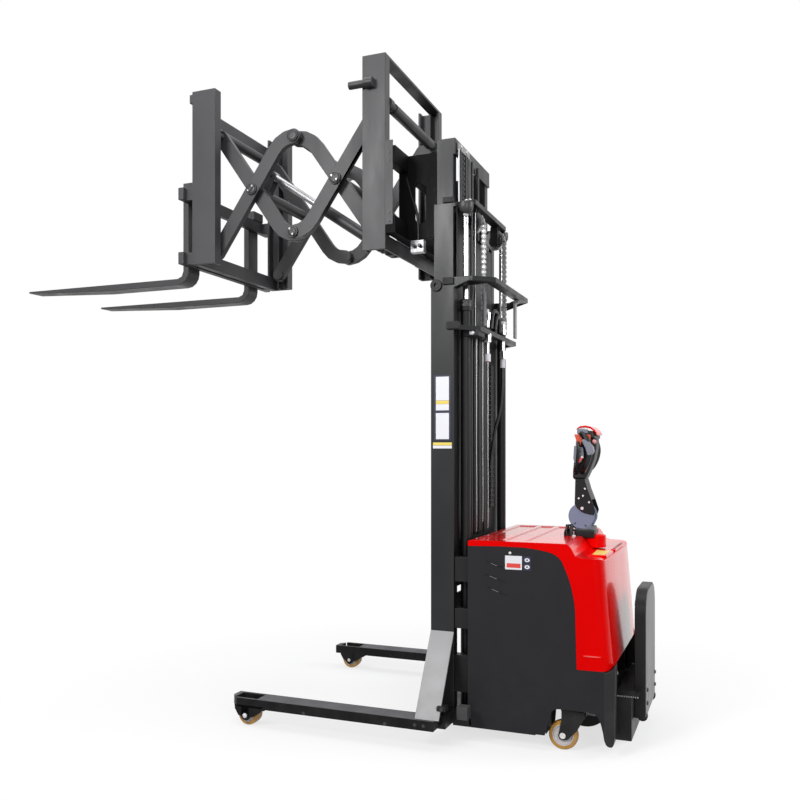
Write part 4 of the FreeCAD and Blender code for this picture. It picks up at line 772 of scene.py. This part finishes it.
# %% Ribbed rubber mat
(mx0, my0, mz0), (mx1, my1, mz1) = FULL["platform_mat"]
mat = block("mat_sheet", (mx1 + 8, my0, mz0), (mx1 + 10, my1, mz1 - 60), 0.6)
rib = block("mat_rib", (mx1 + 9, my0 + 8, mz0 + 10), (mx1 + 12, my1 - 8, mz0 + 20), 1.0)
stands_for(joined("platform_mat_ribbed", mat, repeated(rib, 22, 0, 0, 20)), "platform_mat", black_rubber)

# %% [markdown]
# ## Tiller
# The operator steers with a tiller: a blue-grey yoke on the drive column, a short
# arm that tapers upward, and a moulded head with two side loops, a red cap and a
# few controls.  The arm and head core are drawn side views pushed to their width;
# the loops are bent tubes.

# %% Yoke and column block
tilt = (-632, 0, 983)
CHEEK_FACE, ARM_FACE, CONTROL_FACE, LEG_FACE = 48, 56, 78, 618
disc = turned("yoke_disc", [(0, 36), (55, 36), (60, 40), (60, 47), (57, 50), (0, 50)], tilt, "Y", 44, yoke_blue)
neck_side = [(-588, 966), (-600, 934), (-622, 926), (-668, 926), (-680, 944), (-684, 972)]
neck = side_plate("yoke_neck", CHEEK_FACE, neck_side, -14, 3, 3, yoke_blue)
bolts = [bolt("yoke_bolt", (x, CHEEK_FACE, z), "Y", 4.5, 4, dark_steel) for x, z in ((-604, 950), (-652, 940))]
foot = side_plate("yoke_foot", 44, [(-604, 934), (-604, 920), (-676, 920), (-676, 934)], -88, 3, finish=yoke_blue)
stands_for(joined("tiller_yoke_forked", paired("yoke_cheeks", disc, neck, *bolts), foot), "tiller_yoke")
collar = [block("column_block", (-694, -62, 884), (-600, 62, 918), 5, black_coat),
          block("column_block_top", (-682, -54, 914), (-612, 54, 924), 3, dark_steel)]
KNOBS = (
    ((-572, 62, 884), 15, 20, black_coat), ((-590, 76, 890), 11, 38, hose_rubber),
    ((-566, 40, 884), 10, 58, black_coat), ((-604, 84, 884), 9, 14, pale_hub), ((-588, 50, 922), 8, 24, dark_steel))
knobs = [turned("column_knob", [(0, 0), (r, 0), (r * 1.05, h * 0.5), (r * 0.8, h), (0, h)], at, "Z", 16, finish)
         for at, r, h, finish in KNOBS]
leads = [pipe("column_lead", route, 5, hose_rubber) for route in (
    [(-600, 40, 915), (-570, 60, 930), (-556, 66, 905), (-560, 60, 884)],
    [(-604, 20, 925), (-580, 62, 948), (-562, 80, 925), (-575, 76, 880)])]
fitted(joined("column_fittings", *collar, *knobs, *leads), "drive_head")

# %% Arm
arm_top = [(-605, 1156), (-648, 1156), (-662, 1108)]
arm_cheek = arm_top + [
    (-682, 1056), (-697, 1010), (-692, 990), (-679, 991), (-653, 996), (-632, 1004), (-615, 1019), (-602, 1038)]
cheek = side_plate("tiller_arm_cheek", ARM_FACE, arm_cheek, -5, 2, 3, black_coat)
arm = side_plate("tiller_arm_core", 52, arm_top + [(-680, 1060), (-660, 1050), (-606, 1050)], -104, 2, 3, black_coat)
hub = turned("tiller_hub", even([(0, 34), (34, 34), (36, 28)]), tilt, "Y", 32, black_coat)
screws = [bolt("arm_screw", (x, ARM_FACE, z), "Y", r, 3, label_white) for x, z, r in (
    (-650, 1111, 3.4), (-641, 1078, 3.4), (-621, 1066, 3.4), (-669, 1049, 3.6), (-637, 1020, 5.5))]
stands_for(joined("tiller_arm_cast", arm, cheek, mirrored(cheek), hub, *screws), "tiller_arm")

# %% Head core and loops
core_side = [
    (-590, 1152), (-591, 1194), (-596, 1240), (-601, 1290), (-606, 1345), (-622, 1384), (-690, 1376), (-700, 1345),
    (-700, 1300), (-690, 1248), (-670, 1196), (-650, 1152)]
core = side_plate("head_core", CHEEK_FACE, core_side, -2 * CHEEK_FACE, 14, 4, moulded_black)
brow_side = [(-618, 1352), (-626, 1386), (-690, 1378), (-702, 1345), (-668, 1338)]
brow = side_plate("head_brow", 84, brow_side, -168, 8, 3, moulded_black)
loop_route = [
    (-632, 50, 1368), (-640, 98, 1366), (-668, 118, 1344), (-684, 119, 1300), (-680, 118, 1262), (-666, 112, 1224),
    (-648, 86, 1196), (-634, 38, 1188)]
loop = pipe("head_loop", loop_route, 13, moulded_black, 5)
web_rim = [(-600, 40, 1170), (-604, 84, 1200), (-618, 104, 1240), (-624, 108, 1290), (-618, 96, 1330), (-606, 40, 1344)]
web = plate("head_web", web_rim, (-14, 0, 0), 5, 3, moulded_black)
visor = [(-616, 1391), (-630, 1401), (-656, 1404), (-680, 1398), (-700, 1382), (-709, 1366)]
cap = side_plate("head_cap", CONTROL_FACE, visor + [(x + 2, z - 9) for x, z in visor[::-1]], -156, 4, 3, hood_red)
stands_for(joined("tiller_head_shell", core, brow, loop, mirrored(loop), web, mirrored(web), cap), "tiller_head")

# %% Controls on the head
CONTROLS = (
    ("panel", 70, 17, 2, 2, control_grey, [(-620, 1388), (-668, 1386), (-668, 1368), (-618, 1366)]),
    ("switch", CONTROL_FACE, 12, 2.5, 2, control_orange,
     [(-606, 1364), (-640, 1361), (-644, 1342), (-635, 1310), (-616, 1333)]),
    ("switch", CONTROL_FACE, 12, 2.5, 2, control_orange, [(-648, 1364), (-682, 1360), (-680, 1336), (-664, 1332)]),
    ("switch", CONTROL_FACE, 12, 2.5, 2, label_white, [(-640, 1352), (-654, 1364), (-662, 1348), (-650, 1338)]),
    ("paddle", 96, 36, 4, 3, control_grey,
     [(-646, 1335), (-658, 1341), (-684, 1326), (-699, 1303), (-702, 1282), (-690, 1268), (-674, 1266), (-664, 1300)]),
    ("cheek", CONTROL_FACE, 14, 4, 3, control_grey,
     [(-606, 1311), (-646, 1303), (-650, 1264), (-637, 1234), (-612, 1222), (-602, 1251)]),
    ("lever", 88, 10, 3, 2, pale_red, [(-640, 1262), (-650, 1256), (-632, 1232), (-620, 1238)]))
controls = [side_plate("head_" + name, y, outline, push, width, segments, finish)
            for name, y, push, width, segments, finish, outline in CONTROLS]
tip = block("head_lever_tip", (-650, 90, 1254), (-640, 101, 1262), 2, label_white)
button = turned("head_button", [(0, 0), (10, 0), (10, 5), (7, 8), (0, 9)], (-698, 84, 1329), "Y", 20, control_pink)
fitted(joined("tiller_controls", *controls, tip, button), "tiller")

# %% [markdown]
# ## Wheels
# Every wheel is a lathe piece.  The load and caster wheels have an amber tyre with
# a rounded tread, a paler moulded hub with a dished face and a steel bearing.  One
# half section per part, spun round its axle.

# %% Wheels
for node in NODES:
    kind, hub_node = node.split("_")[0], node.replace("tyre", "hub")
    if kind not in ("load", "caster", "drive") or "tyre" not in node:
        continue
    (x0, y0, z0), (x1, y1, z1) = FULL[node]
    centre, outer, half = ((x0 + x1) / 2, (y0 + y1) / 2, (z0 + z1) / 2), (x1 - x0) / 2, (y1 - y0) / 2
    inner = (FULL[hub_node][1][0] - FULL[hub_node][0][0]) / 2
    tread = [(inner, half - 1), (outer - 5, half - 1), (outer - 1.5, half - 4), (outer, half * 0.4)]
    tyre = black_rubber if kind == "drive" else amber_wheel
    stands_for(turned(node + "_tread", even(tread), centre, "Y", 48, tyre), node)
    dish = [(9, half - 4), (inner * 0.42, half - 2), (inner * 0.5, half - 7), (inner * 0.86, half - 7),
            (inner * 0.92, half), (inner, half)]
    stands_for(turned(hub_node + "_dished", even(dish), centre, "Y", 40, pale_hub), hub_node)

# %% Caster forks
NUT = [(0, 0), (13, 0), (13, 3), (9, 3), (9, 9), (5, 9), (5, 6), (0, 6)]
for side in ("left", "right"):
    node = "caster_fork_" + side
    (x0, y0, z0), (x1, y1, z1) = FULL[node]
    (wx0, wy0, wz0), (wx1, wy1, wz1) = FULL["caster_tyre_" + side]
    ax, az = (wx0 + wx1) / 2, (wz0 + wz1) / 2
    cheek_side = [(x1 - 10, 172), (x0 - 2, 176), (x0 - 2, 146), (ax - 62, 92), (ax - 24, 50), (ax - 12, 44),
                  (ax + 4, 43), (ax + 16, 50), (ax + 20, 62), (ax + 8, 120), (x1 - 10, 140)]
    cheeks = [side_plate("caster_cheek", y, cheek_side, push, 2, finish=black_coat)
              for y, push in ((wy1 + 2, 5), (wy0 - 2, -5))]
    bridge_plate = block("caster_bridge", (x0 - 2, wy0 - 7, 168), (x1 - 8, wy1 + 7, 180), 3, black_coat)
    race = turned("caster_race", [(0, 0), (44, 0), (48, 3), (48, 9), (40, 13), (40, 20), (0, 20)],
                  ((x0 + x1) / 2, (wy0 + wy1) / 2, 178), "Z", 32, black_coat)
    nuts = [turned("caster_nut", [(r, h * out) for r, h in NUT], (ax, y, az), "Y", sides, zinc_steel)
            for y, out, sides in ((wy1 + 7, 1, 24), (wy0 - 7, -1, 6))]
    stands_for(joined(node + "_built", *cheeks, bridge_plate, race, *nuts), node)

# %% [markdown]
# ## Chassis details
# Behind the arch a folded inner wall closes the wheel well, and nuts show where
# the load axles pass the legs.  They are small drawn plates and turned pieces on
# the chassis, placed from the boxes of the nodes that they belong to.

# %% Wheel wells, motor rims and leg details
well_side = [(-560, 80), (-566, 150), (-580, 188), (-786, 188), (-786, 300), (-545, 300), (-545, 70)]
well = [side_plate("wheel_well", 296, well_side, -3, 0.6, finish=panel_coat),
        block("wheel_well_roof", (-786, 296, 186), (-548, 414, 190), 1, panel_coat),
        block("wheel_well_wall", (-548, 296, 72), (-544, 414, 190), 1, panel_coat)]
fitted(paired("wheel_wells", *well), "chassis")
rim = [(0, 0), (52, 0), (56, 6), (56, 30), (48, 40), (0, 40)]
motor = turned("motor_rim", rim, (-716, 200, 172), "Y", 28, brace_coat)
fitted(paired("drive_motor_rims", motor), "chassis")
(ax0, ay0, az0), (ax1, ay1, az1) = FULL["load_axles"]
axle_end = ((ax0 + ax1) / 2, ay1 - 1, (az0 + az1) / 2)
nut = turned("axle_nut", [(0, 0), (11, 0), (11, 3), (8, 5), (0, 5)], axle_end, "Y", 24, label_white)
screws = [bolt("leg_screw", (x, LEG_FACE, z), "Y", 6, 3, dark_steel)
          for x, z in ((-60, 108), (-20, 108), (120, 96), (520, 96))]
fitted(paired("leg_fasteners", nut, *screws), "chassis")
skirt_side = [(886, 100), (884, 80), (866, 50), (845, 43), (805, 43), (781, 50), (744, 74), (736, 86), (736, 100)]
skirts = [side_plate("wheel_skirt", y, skirt_side, -4, 0.8, finish=leg_coat) for y in (LEG_FACE, LEG_FACE - 94)]
fitted(paired("wheel_skirts", *skirts), "chassis")
fitted(joined("brace_feet", block("brace_clevis", (-150, 548, 168), (-108, 590, 190), 4, black_coat),
              turned("brace_pin", [(0, 0), (8, 0), (8, 5), (0, 5)], (-132, 590, 180), "Y", 20, dark_steel),
              block("brace_foot_pad", (-226, 470, 120), (-176, 520, 176), 3, pad_coat)), "chassis")

# %% [markdown]
# ## Mast hardware
# Leaf chains run over two grooved pulleys below the middle bar, the lift rods are
# chrome with a turned cap, and hoses climb behind a black sheet that darkens the
# mast, a painted shade.

# %% Pulleys
(cx0, cy0, cz0), (cx1, cy1, cz1) = FULL["chain_pulleys"]
wheel_x, wheel_y, wheel_z, wheel_r = (cx0 + cx1) / 2, cy1 - 11, (cz0 + cz1) / 2, (cx1 - cx0) / 2
groove = [(26, 8), (wheel_r - 3, 11), (wheel_r, 11), (wheel_r, 8), (wheel_r - 6, 6)]
rim = turned("pulley_rim", even(groove), (wheel_x, wheel_y, wheel_z), "Y", 44, bright_steel)
nave_rim = [(0, -9), (30, -9), (30, 9), (12, 9), (12, 14), (0, 14)]
nave = turned("pulley_nave", nave_rim, (wheel_x, wheel_y, wheel_z), "Y", 32, dark_steel)
stands_for(paired("chain_pulley_pair", rim, nave), "chain_pulleys")

# %% Chain link, strands and wraps
PITCH, RUN_TOP, REAR_RUN, FRONT_RUN = 24, 2335, -49, 45
LIFT_CHAIN = (5, 11, 16, 5.5, 10.5, chain_grey, zinc_steel)
HOSE_CHAIN = (4, 8, 8, 3, 6, dark_steel, zinc_steel)
INNER_CHAIN = (4, 8, 10, 4, 7, dark_steel, bright_steel)


def chain(name, x, y, z, count, make):
    """A leaf chain run: a waisted link with a bright pin head, repeated upward."""
    narrow, wide, thick, radius, reach, link_finish, pin_finish = make
    half = [(narrow, -12), (wide, -6), (wide, 6), (narrow, 12)]
    waist = [(x - dx, z + dz) for dx, dz in half] + [(x + dx, z + dz) for dx, dz in half[::-1]]
    link = side_plate(name + "_link", y + thick / 2, waist, -thick, 0, finish=link_finish)
    pin = turned(name + "_pin", even([(0, reach), (radius, reach)]), (x, y, z), "Y", 8, pin_finish)
    return repeated(joined(name, link, pin), count, 0, 0, PITCH)


turns = [(i * 10, 56 - 3 * (i % 2)) for i in range(-1, 20)] + [(i * 10, 42) for i in range(19, -2, -1)]
band = [(wheel_x + r * math.cos(math.radians(a)), wheel_z + r * math.sin(math.radians(a))) for a, r in turns]
RUNS = (("rear", wheel_x + REAR_RUN, 1872, "chassis", 1900), ("front", wheel_x + FRONT_RUN, 1012, "mast_inner", 1012))
for side, y in (("left", wheel_y), ("right", -wheel_y)):
    wrap = side_plate("chain_wrap_" + side, y + 8, band, -16, 0, finish=chain_grey)
    fitted(wrap, "mast_middle", angle=20)
    for name, x, foot, body, start in RUNS:
        run = chain("chain_%s_%s" % (name, side), x, y, foot + 12, int((wheel_z - foot) / PITCH), LIFT_CHAIN)
        stretched(run, 25)
print("chains run over the pulleys at", wheel_x, wheel_y, wheel_z)

# %% [markdown]
# The lift rods are bright chrome; a dark cap with a silver crescent sits between
# each rod and the bar above.  Turned pieces again, from half sections.

# %% Lift rods and caps
(rx0, ry0, rz0), (rx1, ry1, rz1) = FULL["lift_rods"]
ROD = 12.5
rod_x, rod_y = (rx0 + rx1) / 2, ry1 - ROD
rod_side = [(0, rz0), (ROD, rz0), (ROD, 2318), (ROD - 2, 2320), (ROD - 2, 2326), (ROD, 2328), (ROD, 2356), (0, 2356)]
dome_side = [(0, 2372), (14, 2372), (26, 2378), (34, 2392), (36, 2408), (34, 2424), (0, 2424)]
ring_side = [(0, 2360), (13, 2360), (16, 2366), (14, 2375), (0, 2375)]
rod = [turned("lift_rod_chrome", rod_side, (rod_x, rod_y, 0), "Z", 32, chrome),
       turned("rod_cap_dome", dome_side, (rod_x, rod_y, 0), "Z", 32, dark_steel),
       turned("rod_cap_ring", ring_side, (rod_x + 2, rod_y, 0), "Z", 24, chrome),
       block("rod_cap_block", (rod_x - 16, rod_y - 40, 2366), (rod_x + 8, rod_y - 14, 2404), 3, dark_steel)]
rod += [bolt("rod_cap_bolt", (rod_x + dx, rod_y + 14, 2428), "Z", 6, 5, label_white) for dx in (-26, -8)]
stands_for(paired("lift_rod_pair", *rod), "lift_rods")
gland_side = [(17, 1946), (29, 1946), (29, 1952), (27.6, 1954), (27.6, 1962), (29, 1964), (29, 1970), (26, 1976),
              (14, 1976), (14, 1966)]
gland = turned("barrel_gland", gland_side, (rod_x, rod_y, 0), "Z", 32, dark_steel)
fitted(paired("barrel_glands", gland), "chassis")

# %% [markdown]
# A thin black sheet behind the hoses darkens the mast: painted shade.  Hoses and
# bright hard pipes climb in front of it.  The sheet stops below the pulleys'
# lowest place, so it clears them at every lift height.

# %% Black backing sheets (painted shade), hoses and pipes
# Both black sheets stand for the shade behind the hoses: painted shade.
SHADE_SHEETS = (
    ("lower_shade_sheet", "chassis", -124.2, ((-343, 672), (343, 672), (343, 1936), (-343, 1936))),
    ("upper_shade_sheet", "mast_middle", -121.4,
     ((-225, 1900), (343, 1900), (343, 2400), (206, 2400), (206, 2304), (-225, 2304))))
for name, body, x, outline in SHADE_SHEETS:
    fitted(plate(name, [(x, y, z) for y, z in outline], (2, 0, 0), 0.3), body, black_coat)


def climber(name, x, y, foot, head, radius, finish):
    """A hose or pipe up the mast, with a slight sway so that it does not look ruled."""
    route = [(x, y, foot), (x - 2, y + 2, foot + 60), (x + 1, y - 2, (foot + head) / 2), (x - 1, y + 2, head - 60),
             (x, y, head)]
    return pipe(name, route, radius, finish)


LIFT_LINES = (("hose_lift_1", -157, 234, 6.5, hose_rubber), ("hose_lift_2", -166, 211, 5, hose_rubber),
              ("pipe_lift_1", -172, 226, 1.8, bright_steel))
MAST_LINES = (
    (-142, 232, 886, 1838, 7, hose_rubber), (-150, 214, 886, 1838, 6, hose_rubber),
    (-136, 118, 886, 1836, 6, hose_rubber), (-144, 112, 900, 1830, 2.2, bright_steel),
    (-140, 60, 886, 1836, 8, hose_rubber), (-138, 20, 886, 1836, 6, hose_rubber),
    (-146, 14, 940, 1820, 2.4, bright_steel), (-138, -72, 886, 1836, 6, hose_rubber),
    (-146, -76, 900, 1824, 2.4, bright_steel), (-140, -30, 886, 1836, 8, hose_rubber))
for name, x, y, radius, finish in LIFT_LINES:
    stretched(climber(name, x, y, 1840, 2396, radius, finish), 60)
for i, (x, y, foot, head, radius, finish) in enumerate(MAST_LINES):
    fitted(climber("mast_line_%d" % i, x, y, foot, head, radius, finish), "chassis", angle=60)
for i, y in enumerate((-128, -150)):
    fitted(chain("hose_chain_%d" % i, -144, y, 1012, 30, HOSE_CHAIN), "chassis", angle=25)


# %% Anchors on the hose bar
ANCHOR_X = -214


def anchor(y, levels):
    """Stacked nuts, neck and bulb of one chain anchor, bright zinc."""
    return [turned("anchor_nut", [(0, low), (r * 0.9, low), (r, low + 2), (r, high - 2), (r * 0.9, high), (0, high)],
                   (ANCHOR_X, y, 0), "Z", sides, finish) for low, high, r, sides, finish in levels]


near = anchor(165, (
    (1936, 1952, 8, 16, label_white), (1900, 1938, 14, 6, bright_steel), (1866, 1902, 10, 16, zinc_steel),
    (1796, 1838, 17, 6, bright_steel), (1738, 1800, 9, 16, bright_steel), (1706, 1742, 15, 20, label_white)))
far = anchor(-105, (
    (1916, 1930, 16, 16, label_white), (1890, 1918, 13, 6, bright_steel), (1864, 1892, 16, 6, bright_steel),
    (1780, 1840, 12, 16, bright_steel), (1742, 1784, 17, 6, bright_steel), (1700, 1744, 12, 20, label_white)))
stub_side = [(0, -34), (7, -34), (9, -30), (9, -22), (6, -20), (6, 0), (0, 0)]
sleeve_side = [(0, 1868), (9, 1868), (9, 2068), (4, 2088), (0, 2090)]
rest = [turned("anchor_stub", stub_side, (ANCHOR_X, -112, 1772), "Y", 16, zinc_steel),
        turned("anchor_sleeve", sleeve_side, (-211, 208, 0), "Z", 24, cast_iron),
        block("anchor_clamp", (-150, 372, 1834), (-92, 412, 1868), 3, black_rubber),
        block("anchor_bracket", (-222, 236, 1808), (-150, 340, 1838), 3, black_coat)]
rest += [bolt("anchor_bolt", (x, y, 1822), "Y", 6, 5, label_white)
         for x, y in ((-196, 342), (-187, 341), (-178, 312), (-169, 300))]
rest += [pipe("anchor_hose", route, radius, hose_rubber, 4) for radius, route in (
    (9, [(-214, 100, 1870), (-216, 96, 1930), (-216, 60, 1962), (-216, 10, 1962), (-216, -30, 1930),
         (-214, -36, 1866)]),
    (9, [(-222, 60, 1868), (-224, 56, 1916), (-224, 20, 1940), (-224, -16, 1916), (-222, -20, 1866)]),
    (9, [(-212, 60, 1868), (-212, 40, 1905), (-212, -60, 1905), (-212, -84, 1866)]),
    (8, [(-214, -105, 1702), (-214, -106, 1600), (-200, -110, 1480), (-168, -110, 1380), (-150, -105, 1200)]))]
fitted(joined("chain_anchors", *near, *far, *rest), "chassis")

# %% Clamps, ring lug and strut on the bent bars
outer = [block("bar_clamp", (-126, 352, 2036), (-74, 410, 2068), 3, black_rubber),
         block("bar_shoulder", (-212, 374, 2046), (-120, 399, 2070), 3, mast_coat),
         turned("ring_lug", even([(10, 6), (26, 6), (27, 4)]), (-42, 404, 2036), "Y", 28, black_coat)]
strut_side = [(-246, 1856), (-246, 2040), (-262, 2054), (-270, 2054), (-270, 2036), (-258, 2030), (-258, 1856)]
strut = side_plate("bar_strut", -190, strut_side, -30, 2, finish=brace_coat)
fitted(joined("outer_bar_clamps", paired("outer_clamps", *outer), strut), "chassis")
middle = [block("pulley_hanger", (-170, y, 2395), (-134, y + 7, 2428), 2, black_coat)
          for y in (wheel_y + 12, wheel_y - 19)]
middle.append(block("mid_clamp", (-104, 322, 2422), (-54, 350, 2448), 3, black_rubber))
fitted(paired("mid_bar_clamps", *middle), "mast_middle")

# %% Inner stage lines, chains and top caps
INNER_LINES = (
    (262, 3.5, label_white), (246, 8, hose_rubber), (160, 8, hose_rubber), (138, 8, hose_rubber), (96, 5, cast_iron),
    (60, 9, hose_rubber), (-40, 8, hose_rubber))
for i, (y, radius, finish) in enumerate(INNER_LINES):
    route = [(-104, y, 2330), (-106, y + 3, 2400), (-103, y - 2, 2550), (-104, y, 2690)]
    fitted(pipe("inner_line_%d" % i, route, radius, finish), "mast_inner", angle=60)
for i, y in enumerate((226, 204)):
    fitted(chain("inner_chain_%d" % i, -104, y, 2352, 14, INNER_CHAIN), "mast_inner", angle=25)
tops = [bolt("inner_top_bolt", (-105.5, y, 2706), "X", 8, -6, bright_steel) for y in (232, 150)]
tops.append(block("inner_top_cap", (-106, 96, 2690), (-94, 262, 2722), 3, brace_coat))
fitted(joined("inner_top_caps", *tops), "mast_inner")

# %% Blank plates on the mast's near web
MAST_FACE = 400
MAST_TAGS = (
    (-110, -32, 1463, 1628, label_blue), (-102, -40, 1470, 1498, label_white), (-102, -40, 1499, 1514, label_yellow),
    (-102, -40, 1515, 1622, label_white), (-110, -32, 1334, 1461, label_blue), (-102, -40, 1340, 1458, label_white),
    (-116, -26, 1312, 1325, label_yellow), (-116, -26, 1298, 1311, label_white))
for i, (x0, x1, z0, z1, finish) in enumerate(MAST_TAGS):
    face = MAST_FACE + (0 if finish == label_blue else 0.4)
    fitted(tag("mast_tag_%d" % i, face, x0, x1, z0, z1, finish, 0.8, 0.2), "chassis")

# %% [markdown]
# ## Reach hardware
# Every pivot of the scissor has a pressed cap, and the three big joints have a
# keeper plate held by two screws.  One cap and one keeper are turned and drawn
# once, then placed on the body that carries each pivot.

# %% Caps and keepers
def pivot_cap(name, x, y, z, radius, slant):
    """A cap on a left pin end, and across it a keeper plate at a slant in degrees, if one is given."""
    rim = [(0, 0), (radius, 0), (radius, 3), (radius * 0.8, 6), (radius * 0.55, 6), (radius * 0.5, 4), (0, 4)]
    cap = turned(name + "_cap", rim, (x, y, z), "Y", 28, dark_steel)
    if slant is None:
        return [cap]
    run, rise = math.cos(math.radians(slant)), math.sin(math.radians(slant))
    corners = [(x + a * run - b * rise, z + a * rise + b * run) for a, b in ((-24, -9), (24, -9), (24, 9), (-24, 9))]
    head = [(0, 0), (5, 0), (5, 3), (0, 3)]
    screws = [turned(name + "_screw", head, (x + a * run, y + 9, z + a * rise), "Y", 12, rod_steel) for a in (-16, 16)]
    return [cap, side_plate(name + "_keeper", y + 6, corners, 3, 1, finish=reach_coat), *screws]


def outer_face(node, x, z):
    """The left face of a node around a pivot, measured on its own mesh."""
    places = (vertex.co * 1000 for vertex in NODES[node].data.vertices)
    return max(place.y for place in places if math.hypot(place.x - x, place.z - z) < 60)


PIVOTS = (
    ("rear_lower_arms", 500, 2605, 26, 40), ("front_upper_arms", 968, 2605, 26, -40),
    ("front_lower_arms", 734, 2367, 22, 60), ("rear_lower_arms", 734, 2843, 26, None))
for i, (node, x, z, radius, slant) in enumerate(PIVOTS):
    cap = pivot_cap("pivot_%d" % i, x, outer_face(node, x, z), z, radius, slant)
    fitted(paired("pivot_pair_%d" % i, *cap), BODY_OF[node])

# %% Screws and valve block
rear = [bolt("post_screw", (188, 405, z), "Y", 5, 3, dark_steel) for z in (2670, 2630, 2391, 2350)]
rear += [block("post_strip", (170, 399, 2334), (209, 405, 2725), 2, reach_coat),
         turned("post_ring", [(8, 0), (15, 0), (15, 4), (12, 6), (8, 6)], (272, 387, 2284), "Y", 24, dark_steel)]
fitted(paired("rear_post_fasteners", *rear), "reach_carriage")
port = [(0, 0), (9, 0), (9, 14), (6, 20), (0, 20)]
valve = [turned("valve_port", port, (x, 250, 2260), "Y", 16, dark_steel) for x in (92, 122)]
route = [(108, 232, 2290), (108, 232, 2370), (122, 226, 2450), (150, 226, 2520), (170, 226, 2600)]
valve += [block("valve_body", (75, 214, 2230), (143, 250, 2290), 4, rod_steel),
          pipe("valve_hose", route, 7, hose_rubber)]
fitted(joined("valve_block", *valve), "reach_carriage")
front = [bolt("front_screw", (1166, 387, z), "Y", 5, 3, dark_steel) for z in (2900, 2860, 2330)]
front.append(turned("front_post_dot", [(0, 0), (8, 0), (8, 3), (0, 3)], (1222, 387, 2275), "Y", 20, label_white))
fitted(joined("front_post_fasteners", *front), "fork_carriage")
